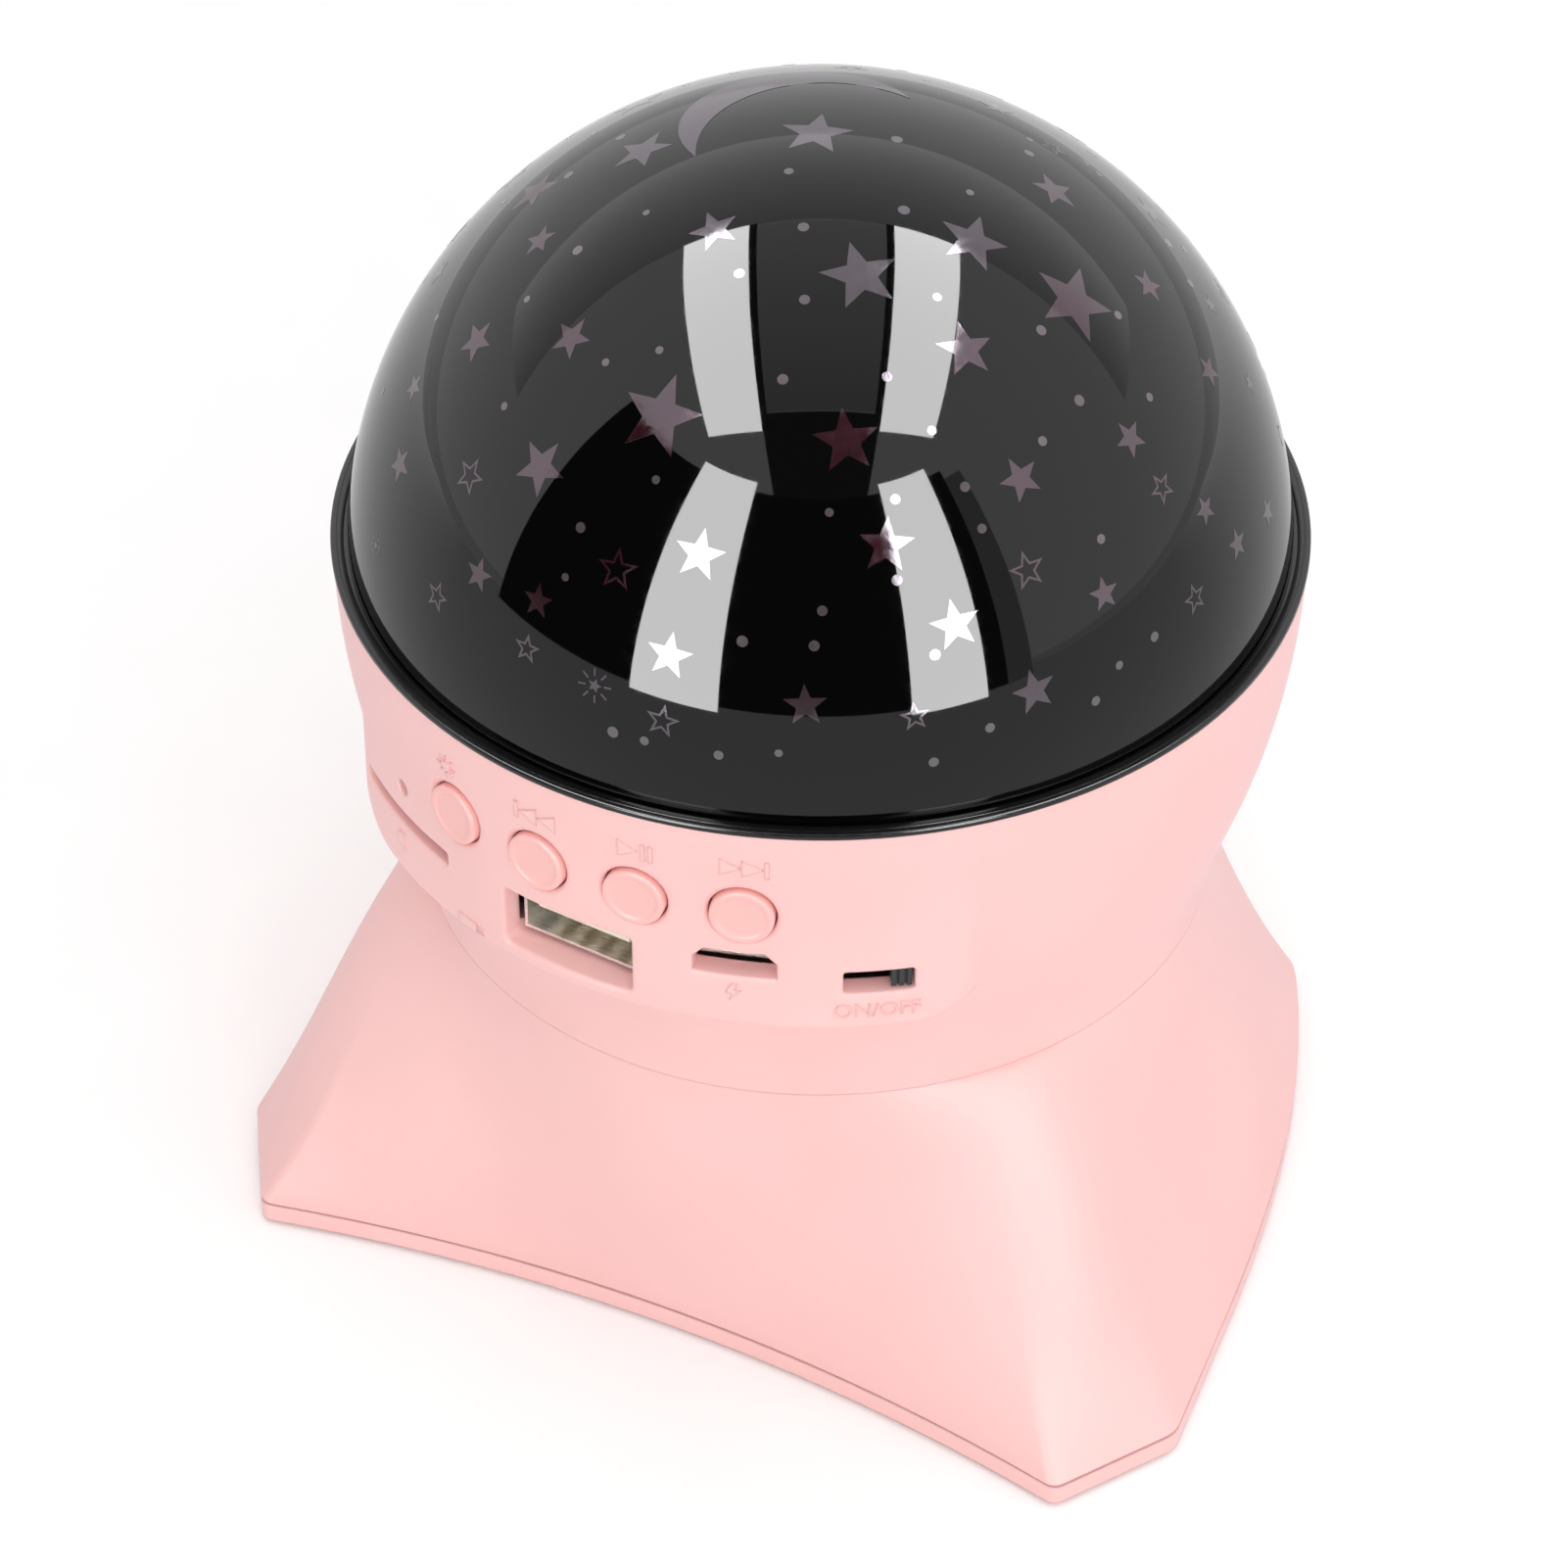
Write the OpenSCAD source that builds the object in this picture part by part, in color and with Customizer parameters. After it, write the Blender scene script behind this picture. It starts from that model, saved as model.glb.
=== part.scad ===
// Star night light projector: a dome lamp with a music player in its bowl, on a flared pedestal.
// Millimetres. +Z is up and z = 0 is the table. The dome's axis is the Z axis. The control panel faces -Y.

/* [Dome cover] */
// Outer radius of the dome
dome_r = 48.4; // [44:0.2:54]
// Wall of the dome
dome_wall = 1.6; // [1.2:0.1:2.2]
// How far the dome's centre lies below the foot of the bezel ring
dome_sink = 2.4; // [1:0.1:4]
// Depth of the spigot that plugs into the ring's collar
spigot_h = 3; // [2:0.1:4]

/* [Bezel ring] */
// Radial gap between dome and ring
dome_gap = 0.25; // [0.2:0.05:0.8]
// Radial width of the ring's visible flange
ring_w = 1.35; // [1:0.05:2]
// Height of the visible flange
ring_h = 0.7; // [0.6:0.1:2]
// Thickness of the web that the dome stands on
ring_web = 0.4; // [0.3:0.05:0.5]
// Radius of the rolled outer edge, cut as a bevel
ring_bevel = 0.2; // [0.1:0.05:0.4]
// Depth of the collar inside the housing
collar_h = 3.6; // [3.2:0.1:6]
// Wall of the collar
collar_wall = 1.5; // [1:0.1:2]

/* [Upper housing] */
// Height from the foot of the neck to the ring
housing_h = 41; // [38:0.5:48]
// Height of the straight neck under the bowl
neck_h = 6; // [4:0.5:8]
// How much the neck narrows
neck_taper = 0.3; // [0.1:0.1:1.5]
// Radius of the bowl's curved side
bowl_curve_r = 85; // [78:1:120]
// Wall of the housing
wall = 2.4; // [2:0.1:3]
// How far the ring overhangs the housing
ring_overhang = 0.2; // [0:0.05:0.5]
// Half width of the raised control panel
panel_half_w = 34.6; // [33.6:0.2:37]
// Height of the control panel below the ring
panel_h = 25.5; // [25:0.5:28]
// Corner radius of the control panel
panel_corner_r = 5.5; // [2:0.5:7]
// How far the panel lies inside the bowl's rim
panel_inset = 0.3; // [0.1:0.05:0.6]
// Diameter of the screw pillars
pillar_d = 6.4; // [6:0.1:7]
// Diameter of the pilot holes in the pillars
pilot_d = 2; // [1.6:0.1:2.2]

/* [Buttons] */
// Diameter of a button cap
button_d = 6.5; // [6:0.1:7]
// Clearance round a button cap
button_gap = 0.2; // [0.15:0.05:0.3]
// Direction of the middle of the button row, from the front towards +X
row_az = -1.7; // [-2.5:0.1:-1]
// Angle between neighbouring buttons
button_pitch = 12.7; // [12:0.1:14]
// Depth of the button row below the ring
button_drop = 10.6; // [9.5:0.1:11.5]
// How far a cap stands out of the panel
button_proud = 0.45; // [0.3:0.05:0.6]
// Travel of a button
button_travel = 0.5; // [0.3:0.05:0.5]

/* [Ports] */
// Width of the USB cut-out
usb_cut_w = 14.8; // [14:0.1:16]
// Height of the USB cut-out
usb_cut_h = 7.1; // [6.4:0.1:7.4]
// Direction of the USB cut-out, from the front towards +X
usb_az = -4.5; // [-5.5:0.1:-3.7]
// Depth of the USB cut-out's centre below the ring
usb_drop = 19.9; // [19.9:0.1:20.3]
// Width of the charging port's cut-out
micro_cut_w = 8.4; // [8:0.1:9]
// Height of the charging port's cut-out
micro_cut_h = 3.1; // [2.8:0.1:3.4]
// Direction of the charging port
micro_az = 16.4; // [15.8:0.1:17.3]
// Depth of the charging port's centre below the ring
micro_drop = 17.05; // [16.9:0.05:17.2]
// Width of the card slot
card_cut_w = 16.5; // [15:0.1:17]
// Height of the card slot
card_cut_h = 1.7; // [1.5:0.1:2]
// Direction of the card slot
card_az = -32.2; // [-33:0.1:-31.7]
// Width of the switch slot
switch_cut_w = 7.1; // [6.8:0.1:7.6]
// Height of the switch slot
switch_cut_h = 2.8; // [2.6:0.1:3]
// Direction of the switch slot
switch_az = 33; // [32.3:0.1:33.3]
// Width of the switch knob
knob_w = 2; // [1.8:0.1:2.2]
// Travel of the switch knob
knob_travel = 4; // [3:0.1:4]
// Diameter of the indicator hole
indicator_hole_d = 1.8; // [1.4:0.1:2.2]
// Depth of the indicator hole below the ring
indicator_drop = 13.5; // [13.2:0.1:13.8]

/* [Electronics] */
// Depth of the main board's upper face below the ring
board_drop = 15.7; // [15.7:0.05:15.9]
// Thickness of the circuit boards
board_t = 1.2; // [1:0.1:1.6]
// Radius of the battery cell
cell_r = 9.15; // [8.9:0.05:9.25]
// Room between the ends of the battery cell and the neck's wall
cell_margin = 7.1; // [6:0.1:10]
// Diameter of the lamp's round circuit board
lamp_board_d = 15; // [14:0.5:18]
// Edge of one lamp LED
lamp_led_w = 3.5; // [3:0.1:3.8]

/* [Pedestal] */
// How far the middle of the hollow front edge lies inside the neck
front_hollow = 6.4; // [4:0.1:8]
// How far the front corners stand in front of the front edge's middle
corner_fwd = 5.4; // [3:0.1:7]
// How far the front corners stand out beside the neck
corner_out = 5.6; // [4:0.1:9]
// How far the rear ends of the corner facets stand out beside the neck
facet_out = 13.7; // [11:0.1:16]
// How far the facets run back from the front corners
facet_back = 12.9; // [10:0.1:15]
// How far the rear corners lie inside the side of the neck
rear_in = 2.4; // [1:0.1:4]
// How far the rear corners lie behind the back of the neck
rear_back = 1.2; // [0:0.1:3]
// Height of the pedestal between the base plate and the neck
skirt_h = 41.4; // [38:0.2:48]
// Height of the visible edge of the base plate
lip_h = 2.2; // [2:0.1:3]
// Wall of the pedestal
skirt_wall = 2.4; // [2:0.1:3]
// How the front runs down: 1 is straight, more is hollow
front_flare = 1.2; // [1:0.05:1.4]
// How the corners run down: 1 is straight, less is full
corner_flare = 0.6; // [0.55:0.05:1]
// How the sides run down: 1 is straight, more is hollow
side_flare = 1.6; // [1:0.05:1.8]
// How the back runs down: 1 is straight, more is hollow
back_flare = 1.05; // [0.9:0.05:1.4]
// Height of a foot below the base plate
foot_h = 0.6; // [0.4:0.1:1.5]
// Diameter of a foot
foot_d = 10; // [8:0.5:11]

/* [Speaker] */
// Diameter of the speaker's flange
speaker_d = 54; // [50:1:56]
// Height of the speaker's basket
basket_h = 12; // [10:0.5:14]
// Diameter of the magnet
magnet_d = 30; // [26:1:32]
// Height of the magnet
magnet_h = 8; // [6:0.5:10]
// Distance of the speaker's axis behind the dome's axis
speaker_y = 4; // [2:0.5:8]

/* [Hidden] */
$fn = 96;

pink = [0.98, 0.78, 0.78];
gloss_black = [0.07, 0.07, 0.08];
board_green = [0.10, 0.36, 0.22];
metal = [0.78, 0.78, 0.80];
dark_plastic = [0.16, 0.16, 0.17];
white_plastic = [0.93, 0.93, 0.92];
cream_plastic = [0.92, 0.88, 0.74];
brass = [0.80, 0.64, 0.30];
foam_grey = [0.35, 0.35, 0.37];

eps = 0.02;               // overshoot of a cut past the face it opens
slide_gap = 0.3;          // room between a moving piece and what it passes
touch_gap = 0.1;          // room where two pieces only nearly meet

// heights, from the table up
plate_z = foot_h;
seam_z = plate_z + lip_h;
neck_z = seam_z + skirt_h;
ring_z = neck_z + housing_h;
board_z = ring_z - board_drop;
board_under_z = board_z - board_t;
dome_z = ring_z - dome_sink;

// radii of the stack
ring_in_r = dome_r + dome_gap;
ring_out_r = ring_in_r + ring_w;
housing_r = ring_out_r - ring_overhang;
housing_in_r = housing_r - wall;
panel_r = housing_r - panel_inset;
panel_in_r = panel_r - wall;
collar_out_r = housing_in_r - touch_gap;
collar_in_r = collar_out_r - collar_wall;
spigot_out_r = collar_in_r - slide_gap;
spigot_wall = 1.2;
bowl_h = housing_h - neck_h;
bowl_centre_r = housing_r - bowl_curve_r;
bowl_foot_r = bowl_centre_r + sqrt(pow(bowl_curve_r, 2) - pow(bowl_h, 2));
neck_r = bowl_foot_r - neck_taper;
floor_z = neck_z + wall;
front_y = neck_r - front_hollow;
corner_y = front_y + corner_fwd;
corner_x = neck_r + corner_out;
facet_x = neck_r + facet_out;
facet_y = corner_y - facet_back;
rear_x = neck_r - rear_in;
rear_y = neck_r + rear_back;
deck_t = 1.6;
deck_z = ring_z - collar_h - deck_t;

// ---------- placing round the housing ----------

// children stand at angle az from the front, with their own -Y pointing outwards
module around(az) {
    rotate([0, 0, az])
        children();
}

// box from radius r1 out to radius r2, w wide and h high, its middle at height z
module radial_box(az, r1, r2, w, h, z) {
    around(az)
        translate([-w / 2, -r2, z - h / 2])
            cube([w, r2 - r1, h]);
}

// round bar from radius r1 out to radius r2 at height z
module radial_rod(az, r1, r2, d, z) {
    around(az)
        translate([0, -r1, z])
            rotate([90, 0, 0])
                cylinder(d = d, h = r2 - r1);
}

// ---------- screws ----------

// pan-head screw, its shank pointing up from z = 0 and its head below
module screw(shank_d, shank_l, head_d, head_h) {
    cylinder(d = shank_d, h = shank_l);
    translate([0, 0, -head_h])
        cylinder(d = head_d, h = head_h);
}

module cross_slot(head_d, head_h) {
    slot_w = head_d / 6;
    for (turn = [0, 90])
        rotate([0, 0, turn])
            translate([-head_d / 3, -slot_w / 2, -head_h - eps])
                cube([head_d * 2 / 3, slot_w, head_h / 2]);
}

module cross_screw(shank_d, shank_l, head_d, head_h) {
    difference() {
        screw(shank_d, shank_l, head_d, head_h);
        cross_slot(head_d, head_h);
    }
}

screw_d = 2.4;
screw_head_d = 4.8;
screw_head_h = 1.4;
screw_hole_d = screw_d + 2 * touch_gap;
screw_bite = 6;
pilot_depth = 8;

// ---------- dome cover ----------

dome_foot_z = ring_z + ring_web + touch_gap;
dome_flange_h = 1.2;

module dome_cover() {
    color(gloss_black)
    rotate_extrude() {
        // the shell of the dome
        intersection() {
            difference() {
                translate([0, dome_z])
                    circle(r = dome_r);
                translate([0, dome_z])
                    circle(r = dome_r - dome_wall);
            }
            translate([0, dome_foot_z])
                square([dome_r, dome_r * 2]);
        }
        // the flange inside its foot, and the spigot that plugs into the collar
        translate([spigot_out_r - spigot_wall, dome_foot_z])
            square([dome_r - dome_wall / 2 - spigot_out_r + spigot_wall, dome_flange_h]);
        translate([spigot_out_r - spigot_wall, ring_z - spigot_h])
            square([spigot_wall, spigot_h + dome_foot_z - ring_z + dome_flange_h]);
    }
}

// ---------- bezel ring ----------

module bezel_ring() {
    color(gloss_black)
    rotate_extrude() {
        // the visible flange with its rolled edge
        polygon([
            [ring_in_r, ring_z],
            [ring_out_r, ring_z],
            [ring_out_r, ring_z + ring_h - ring_bevel],
            [ring_out_r - ring_bevel, ring_z + ring_h],
            [ring_in_r, ring_z + ring_h]
        ]);
        // the web under the dome
        translate([collar_in_r, ring_z])
            square([ring_in_r - collar_in_r + ring_w / 2, ring_web]);
        // the collar inside the housing
        translate([collar_in_r, ring_z - collar_h])
            square([collar_wall, collar_h + ring_web]);
    }
}

// ---------- upper housing ----------

// section of the bowl and neck, thinned by t all round
module bowl_section(t) {
    intersection() {
        translate([bowl_centre_r, ring_z])
            circle(r = bowl_curve_r - t, $fn = 240);
        translate([0, neck_z + neck_h])
            square([housing_r, bowl_h]);
    }
    polygon([
        [0, neck_z + t],
        [neck_r - t, neck_z + t],
        [bowl_foot_r - t, neck_z + neck_h + eps],
        [0, neck_z + neck_h + eps]
    ]);
}

// outline of the control panel as seen from the front, thinned by t, its top at the ring
module panel_outline(t) {
    half_w = panel_half_w - t;
    low = panel_h - t;
    corner = panel_corner_r;
    translate([-half_w, -low + corner])
        square([half_w * 2, low - corner]);
    translate([-half_w + corner, -low])
        square([(half_w - corner) * 2, corner + eps]);
    for (side = [-1, 1])
        translate([side * (half_w - corner), -low + corner])
            circle(r = corner);
}

// the panel's block: a drum of radius r, kept only behind the panel's outline
module panel_block(r, t) {
    intersection() {
        translate([0, 0, ring_z - panel_h])
            cylinder(r = r, h = panel_h);
        translate([0, 0, ring_z])
            rotate([90, 0, 0])
                linear_extrude(height = panel_r * 2)
                    panel_outline(t);
    }
}

module housing_cavity() {
    rotate_extrude()
        bowl_section(wall);
    panel_block(panel_in_r, wall);
}

button_azs = [for (k = [-1.5 : 1 : 1.5]) row_az + k * button_pitch];
button_z = ring_z - button_drop;
usb_z = ring_z - usb_drop;
micro_z = ring_z - micro_drop;
card_body_h = 1.9;
card_z = board_under_z - card_body_h / 2 + 0.2;
switch_body_h = 4.2;
switch_z = board_under_z - switch_body_h / 2;
indicator_z = ring_z - indicator_drop;
indicator_az = card_az + 0.6;
cut_in_r = panel_in_r - 6;
cut_out_r = panel_r + 4;

module panel_cuts() {
    for (az = button_azs)
        radial_rod(az, cut_in_r, cut_out_r, button_d + 2 * button_gap, button_z);
    radial_box(usb_az, cut_in_r, cut_out_r, usb_cut_w, usb_cut_h, usb_z);
    radial_box(card_az, cut_in_r, cut_out_r, card_cut_w, card_cut_h, card_z);
    radial_box(switch_az, cut_in_r, cut_out_r, switch_cut_w, switch_cut_h, switch_z);
    radial_rod(indicator_az, cut_in_r, cut_out_r, indicator_hole_d, indicator_z);
    micro_cut();
}

// the charging port's cut-out has bevelled upper corners
module micro_cut() {
    bevel = 1.2;
    half_w = micro_cut_w / 2;
    half_h = micro_cut_h / 2;
    around(micro_az)
        translate([0, -cut_in_r, micro_z])
            rotate([90, 0, 0])
                linear_extrude(height = cut_out_r - cut_in_r)
                    polygon([
                        [-half_w, -half_h],
                        [half_w, -half_h],
                        [half_w, half_h - bevel],
                        [half_w - bevel, half_h],
                        [-half_w + bevel, half_h],
                        [-half_w, half_h - bevel]
                    ]);
}

deck_pillar_azs = [70, 180, 290];
pillar_inset = 6.5;
deck_pillar_r = housing_in_r - pillar_inset;
board_back_y = -7;
board_half_w = panel_half_w - wall - slide_gap;
board_pillar_inset = [6, 5];
board_pillar_x = board_half_w - board_pillar_inset[0];
board_pillar_y = board_back_y - board_pillar_inset[1];
board_pillar_step = 10;
board_pillars = [
    [-board_pillar_x, board_pillar_y],
    [board_pillar_x, board_pillar_y],
    [0, board_pillar_y - board_pillar_step]
];
neck_screw_inset = 10;
neck_screw_xy = (neck_r - neck_screw_inset) / sqrt(2);
neck_boss_h = 8;
wire_hole_d = 8;
wire_hole_y = -12;

module deck_pillars() {
    pillar_foot_z = ring_z - panel_h;
    for (az = deck_pillar_azs)
        around(az)
            translate([0, -deck_pillar_r, pillar_foot_z])
                cylinder(d = pillar_d, h = deck_z - pillar_foot_z);
}

// ribs that tie each deck pillar to the wall
module deck_ribs() {
    rib_w = 3;
    rib_h = 6;
    for (az = deck_pillar_azs)
        radial_box(az, deck_pillar_r, housing_in_r + wall / 3, rib_w, rib_h, deck_z - rib_h / 2);
}

module deck_pillar_holes() {
    for (az = deck_pillar_azs)
        around(az)
            translate([0, -deck_pillar_r, deck_z - pilot_depth])
                cylinder(d = pilot_d, h = pilot_depth + eps);
}

module board_pillar_stack() {
    for (p = board_pillars)
        translate([p[0], p[1], floor_z - eps])
            cylinder(d = pillar_d, h = board_under_z - floor_z + eps);
}

module board_pillar_holes() {
    for (p = board_pillars)
        translate([p[0], p[1], board_under_z - pilot_depth])
            cylinder(d = pilot_d, h = pilot_depth + eps);
}

module at_neck_screws() {
    for (sx = [-1, 1], sy = [-1, 1])
        translate([sx * neck_screw_xy, sy * neck_screw_xy, 0])
            children();
}

module upper_housing() {
    color(pink)
    difference() {
        union() {
            difference() {
                union() {
                    rotate_extrude()
                        bowl_section(0);
                    panel_block(panel_r, 0);
                }
                housing_cavity();
                translate([0, 0, ring_z - collar_h])
                    cylinder(r = housing_in_r, h = collar_h + eps);
                panel_cuts();
            }
            intersection() {
                union() {
                    deck_pillars();
                    deck_ribs();
                    board_pillar_stack();
                }
                rotate_extrude()
                    bowl_section(wall / 2);
            }
            at_neck_screws()
                translate([0, 0, floor_z - eps])
                    cylinder(d = pillar_d, h = neck_boss_h);
        }
        deck_pillar_holes();
        board_pillar_holes();
        at_neck_screws()
            translate([0, 0, neck_z - eps])
                cylinder(d = pilot_d, h = neck_boss_h);
        translate([0, wire_hole_y, neck_z - eps])
            cylinder(d = wire_hole_d, h = wall + 2 * eps);
    }
}

// ---------- pedestal ----------

// point at t on the curve from a to d with the handles b and c
function curve(a, b, c, d, t) =
    pow(1 - t, 3) * a + 3 * pow(1 - t, 2) * t * b + 3 * (1 - t) * t * t * c + pow(t, 3) * d;

side_handle = neck_r * 0.62;
rear_handle = neck_r * 0.14;
back_handle = neck_r * 0.71;
side_dir = [-0.11, 0.99];
rear_dir = [-0.45, 0.89];
facet_end = [facet_x, -facet_y];
rear_corner = [rear_x, rear_y];
back_mid = [0, ring_out_r];

front_steps = 10;
facet_steps = 4;
side_steps = 10;
back_steps = 10;

// right half of the plan, from the middle of the front to the middle of the back
half_plan = concat(
    [for (i = [0 : front_steps])
        let (x = corner_x * i / front_steps)
            [x, -front_y - (corner_y - front_y) * pow(x / corner_x, 2)]],
    [for (i = [1 : facet_steps - 1])
        [corner_x, -corner_y] + (facet_end - [corner_x, -corner_y]) * i / facet_steps],
    [for (i = [0 : side_steps])
        curve(facet_end, facet_end + side_handle * side_dir, rear_corner - side_handle * rear_dir,
              rear_corner, i / side_steps)],
    [for (i = [1 : back_steps])
        curve(rear_corner, rear_corner + rear_handle * rear_dir, back_mid + [back_handle, 0],
              back_mid, i / back_steps)]
);
half_count = len(half_plan);
plan = concat(
    half_plan,
    [for (i = [half_count - 2 : -1 : 1]) [-half_plan[i][0], half_plan[i][1]]]
);
plan_count = len(plan);

// plan radius in the direction of point p, for the straight run between its two neighbours
hit_slack = 0.001;
function plan_r(p) =
    let (
        hits = [for (i = [0 : plan_count - 1])
            let (
                q = plan[i],
                n = plan[(i + 1) % plan_count],
                d = n - q,
                u = p / norm(p),
                det = u[0] * d[1] - u[1] * d[0],
                along = (q[0] * d[1] - q[1] * d[0]) / det,
                share = (q[0] * u[1] - q[1] * u[0]) / det
            )
            if (along > 0 && share > -hit_slack && share < 1 + hit_slack) along]
    )
    max(hits);

// plan radius averaged round the direction of point p, which rounds the corners off
soft_step = 4;
soft_reach = 3;
function soft_r(p) =
    let (
        near = [for (k = [-soft_reach : soft_reach])
            let (c = cos(k * soft_step), s = sin(k * soft_step))
                plan_r([p[0] * c - p[1] * s, p[0] * s + p[1] * c])]
    )
    near * [for (r = near) 1] / len(near);

// v1 up to a1, v2 from a2 on, and a smooth change between
function eased(a, a1, v1, a2, v2) =
    let (t = min(1, max(0, (a - a1) / (a2 - a1))))
    v1 + (v2 - v1) * t * t * (3 - 2 * t);

// power of the flare in the direction of point p
corner_turn = 50;
side_turn = 90;
back_turn = 150;
function flare(p) =
    let (a = abs(atan2(p[0], -p[1])))
    a < corner_turn ? eased(a, 0, front_flare, corner_turn, corner_flare)
    : a < side_turn ? eased(a, corner_turn, corner_flare, side_turn, side_flare)
    : eased(a, side_turn, side_flare, back_turn, back_flare);

skirt_levels = 9;
function level(k) = pow(k / skirt_levels, 1.5);

// distance of the skirt's outside from the axis, at share s of the way down, above plan point p:
// soft is the averaged radius there, and the corners only turn sharp near the foot
corner_power = 3;
function skirt_r(p, soft, s) =
    let (sharp = pow(s, corner_power))
    neck_r + ((1 - sharp) * soft + sharp * norm(p) - neck_r) * pow(s, flare(p));

// a point of the skirt's skin above plan point p, t inside the outer face
function skirt_point(p, soft, s, t) =
    let (r = skirt_r(p, soft, s) - t)
        [p[0] / norm(p) * r, p[1] / norm(p) * r, neck_z - skirt_h * s];

shelf_t = 2.4;
shelf_hole_r = wire_hole_d / 2;
shelf_s = shelf_t / skirt_h;

// one closed loop of the skirt's section above plan point p: down the outside, up the inside, round the shelf
function skirt_loop(p) =
    let (soft = soft_r(p))
    concat(
        [for (k = [0 : skirt_levels]) skirt_point(p, soft, level(k), 0)],
        [for (k = [skirt_levels : -1 : 2]) skirt_point(p, soft, level(k), skirt_wall)],
        [skirt_point(p, soft, shelf_s, skirt_wall)]
    );
loop_count = skirt_levels * 2 + 1;

module skirt_shell() {
    points = [for (p = plan) each skirt_loop(p)];
    faces = concat(
        [for (i = [0 : plan_count - 1], k = [0 : loop_count - 2])
            let (a = i * loop_count + k, b = ((i + 1) % plan_count) * loop_count + k)
                [a, b + 1, a + 1]],
        [for (i = [0 : plan_count - 1], k = [0 : loop_count - 2])
            let (a = i * loop_count + k, b = ((i + 1) % plan_count) * loop_count + k)
                [a, b, b + 1]],
        // flat lids over the shelf, above and below
        [[for (i = [plan_count - 1 : -1 : 0]) i * loop_count]],
        [[for (i = [0 : plan_count - 1]) i * loop_count + loop_count - 1]]
    );
    polyhedron(points = points, faces = faces);
}

base_boss_d = pillar_d;
boss_inset_x = [3.8, 9.4];
boss_inset_y = [9.6, 6.6];
base_boss_x = [corner_x - boss_inset_x[0], rear_x - boss_inset_x[1]];
base_boss_y = [boss_inset_y[0] - corner_y, rear_y - boss_inset_y[1]];
base_boss_places = [for (row = [0, 1], side = [-1, 1]) [side * base_boss_x[row], base_boss_y[row]]];

// height at which the skirt's inner face passes over the outer part of a boss at p
search_steps = 100;
function boss_top(p) =
    let (
        reach = norm(p) + base_boss_d / 4 + skirt_wall,
        edge = p / norm(p) * plan_r(p),
        soft = soft_r(p),
        first = min([for (k = [0 : search_steps])
            if (skirt_r(edge, soft, k / search_steps) >= reach) k])
    )
    neck_z - skirt_h * first / search_steps;

module pedestal_skirt() {
    color(pink)
    difference() {
        union() {
            skirt_shell();
            for (p = base_boss_places)
                translate([p[0], p[1], seam_z])
                    cylinder(d = base_boss_d, h = boss_top(p) - seam_z);
        }
        for (p = base_boss_places)
            translate([p[0], p[1], seam_z - eps])
                cylinder(d = pilot_d, h = (boss_top(p) - seam_z) * 0.8);
        at_neck_screws()
            translate([0, 0, neck_z - shelf_t - 1])
                cylinder(d = screw_hole_d, h = shelf_t + 2);
        translate([0, wire_hole_y, neck_z - shelf_t - 1])
            cylinder(r = shelf_hole_r, h = shelf_t + 2);
    }
}

foot_inset_x = [12.8, 20.4];
foot_inset_y = [15.6, 2.6];
foot_x = [corner_x - foot_inset_x[0], rear_x - foot_inset_x[1]];
foot_y = [foot_inset_y[0] - corner_y, rear_y - foot_inset_y[1]];
foot_places = [for (row = [0, 1], side = [-1, 1]) [side * foot_x[row], foot_y[row]]];
foot_recess = 1.2;
grille_hole_d = 2.4;
grille_pitch = 4.2;
grille_rings = 4;
base_screw_sink = 1.2;

module base_plate() {
    color(pink)
    difference() {
        translate([0, 0, plate_z])
            linear_extrude(height = lip_h)
                polygon(plan);
        for (p = foot_places)
            translate([p[0], p[1], plate_z - eps])
                cylinder(d = foot_d, h = foot_recess + eps);
        for (p = base_boss_places)
            translate([p[0], p[1], plate_z - eps]) {
                cylinder(d = screw_hole_d, h = lip_h + 2 * eps);
                cylinder(d = screw_head_d + 4 * touch_gap, h = base_screw_sink + eps);
            }
        translate([0, speaker_y, plate_z - eps])
            cylinder(d = grille_hole_d, h = lip_h + 2 * eps);
        for (turn = [0 : 90 : 270])
            rotate_about_speaker(turn + 45)
                translate([speaker_hole_r, 0, seam_z - speaker_bite])
                    cylinder(d = pilot_d, h = speaker_bite + eps);
        for (ring = [1 : grille_rings], k = [0 : ring * 6 - 1])
            rotate_about_speaker(k * 60 / ring)
                translate([ring * grille_pitch, 0, plate_z - eps])
                    cylinder(d = grille_hole_d, h = lip_h + 2 * eps);
    }
}

module rotate_about_speaker(turn) {
    translate([0, speaker_y, 0])
        rotate([0, 0, turn])
            children();
}

module rubber_feet() {
    color(foam_grey)
    for (p = foot_places)
        translate([p[0], p[1], 0])
            cylinder(d = foot_d - 2 * touch_gap, h = foot_h + foot_recess);
}

module base_screws() {
    color(metal)
    for (p = base_boss_places)
        translate([p[0], p[1], plate_z + base_screw_sink])
            cross_screw(pilot_d, lip_h - base_screw_sink + (boss_top(p) - seam_z) * 0.7,
                        screw_head_d, base_screw_sink * 0.9);
}

module neck_screws() {
    color(metal)
    at_neck_screws()
        translate([0, 0, neck_z - shelf_t])
            cross_screw(pilot_d, shelf_t + neck_boss_h * 0.8, screw_head_d, screw_head_h);
}

// ---------- lamp ----------

lamp_stand_d = lamp_board_d + 3;
lamp_stand_h = 2.4;
lamp_board_z = deck_z + deck_t + lamp_stand_h;
lamp_wire_hole_d = 4;
lamp_wire_x = lamp_stand_d / 2 + 0.75 * lamp_wire_hole_d;
lamp_led_r = lamp_board_d / 4;
lamp_led_h = 1.6;

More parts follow.
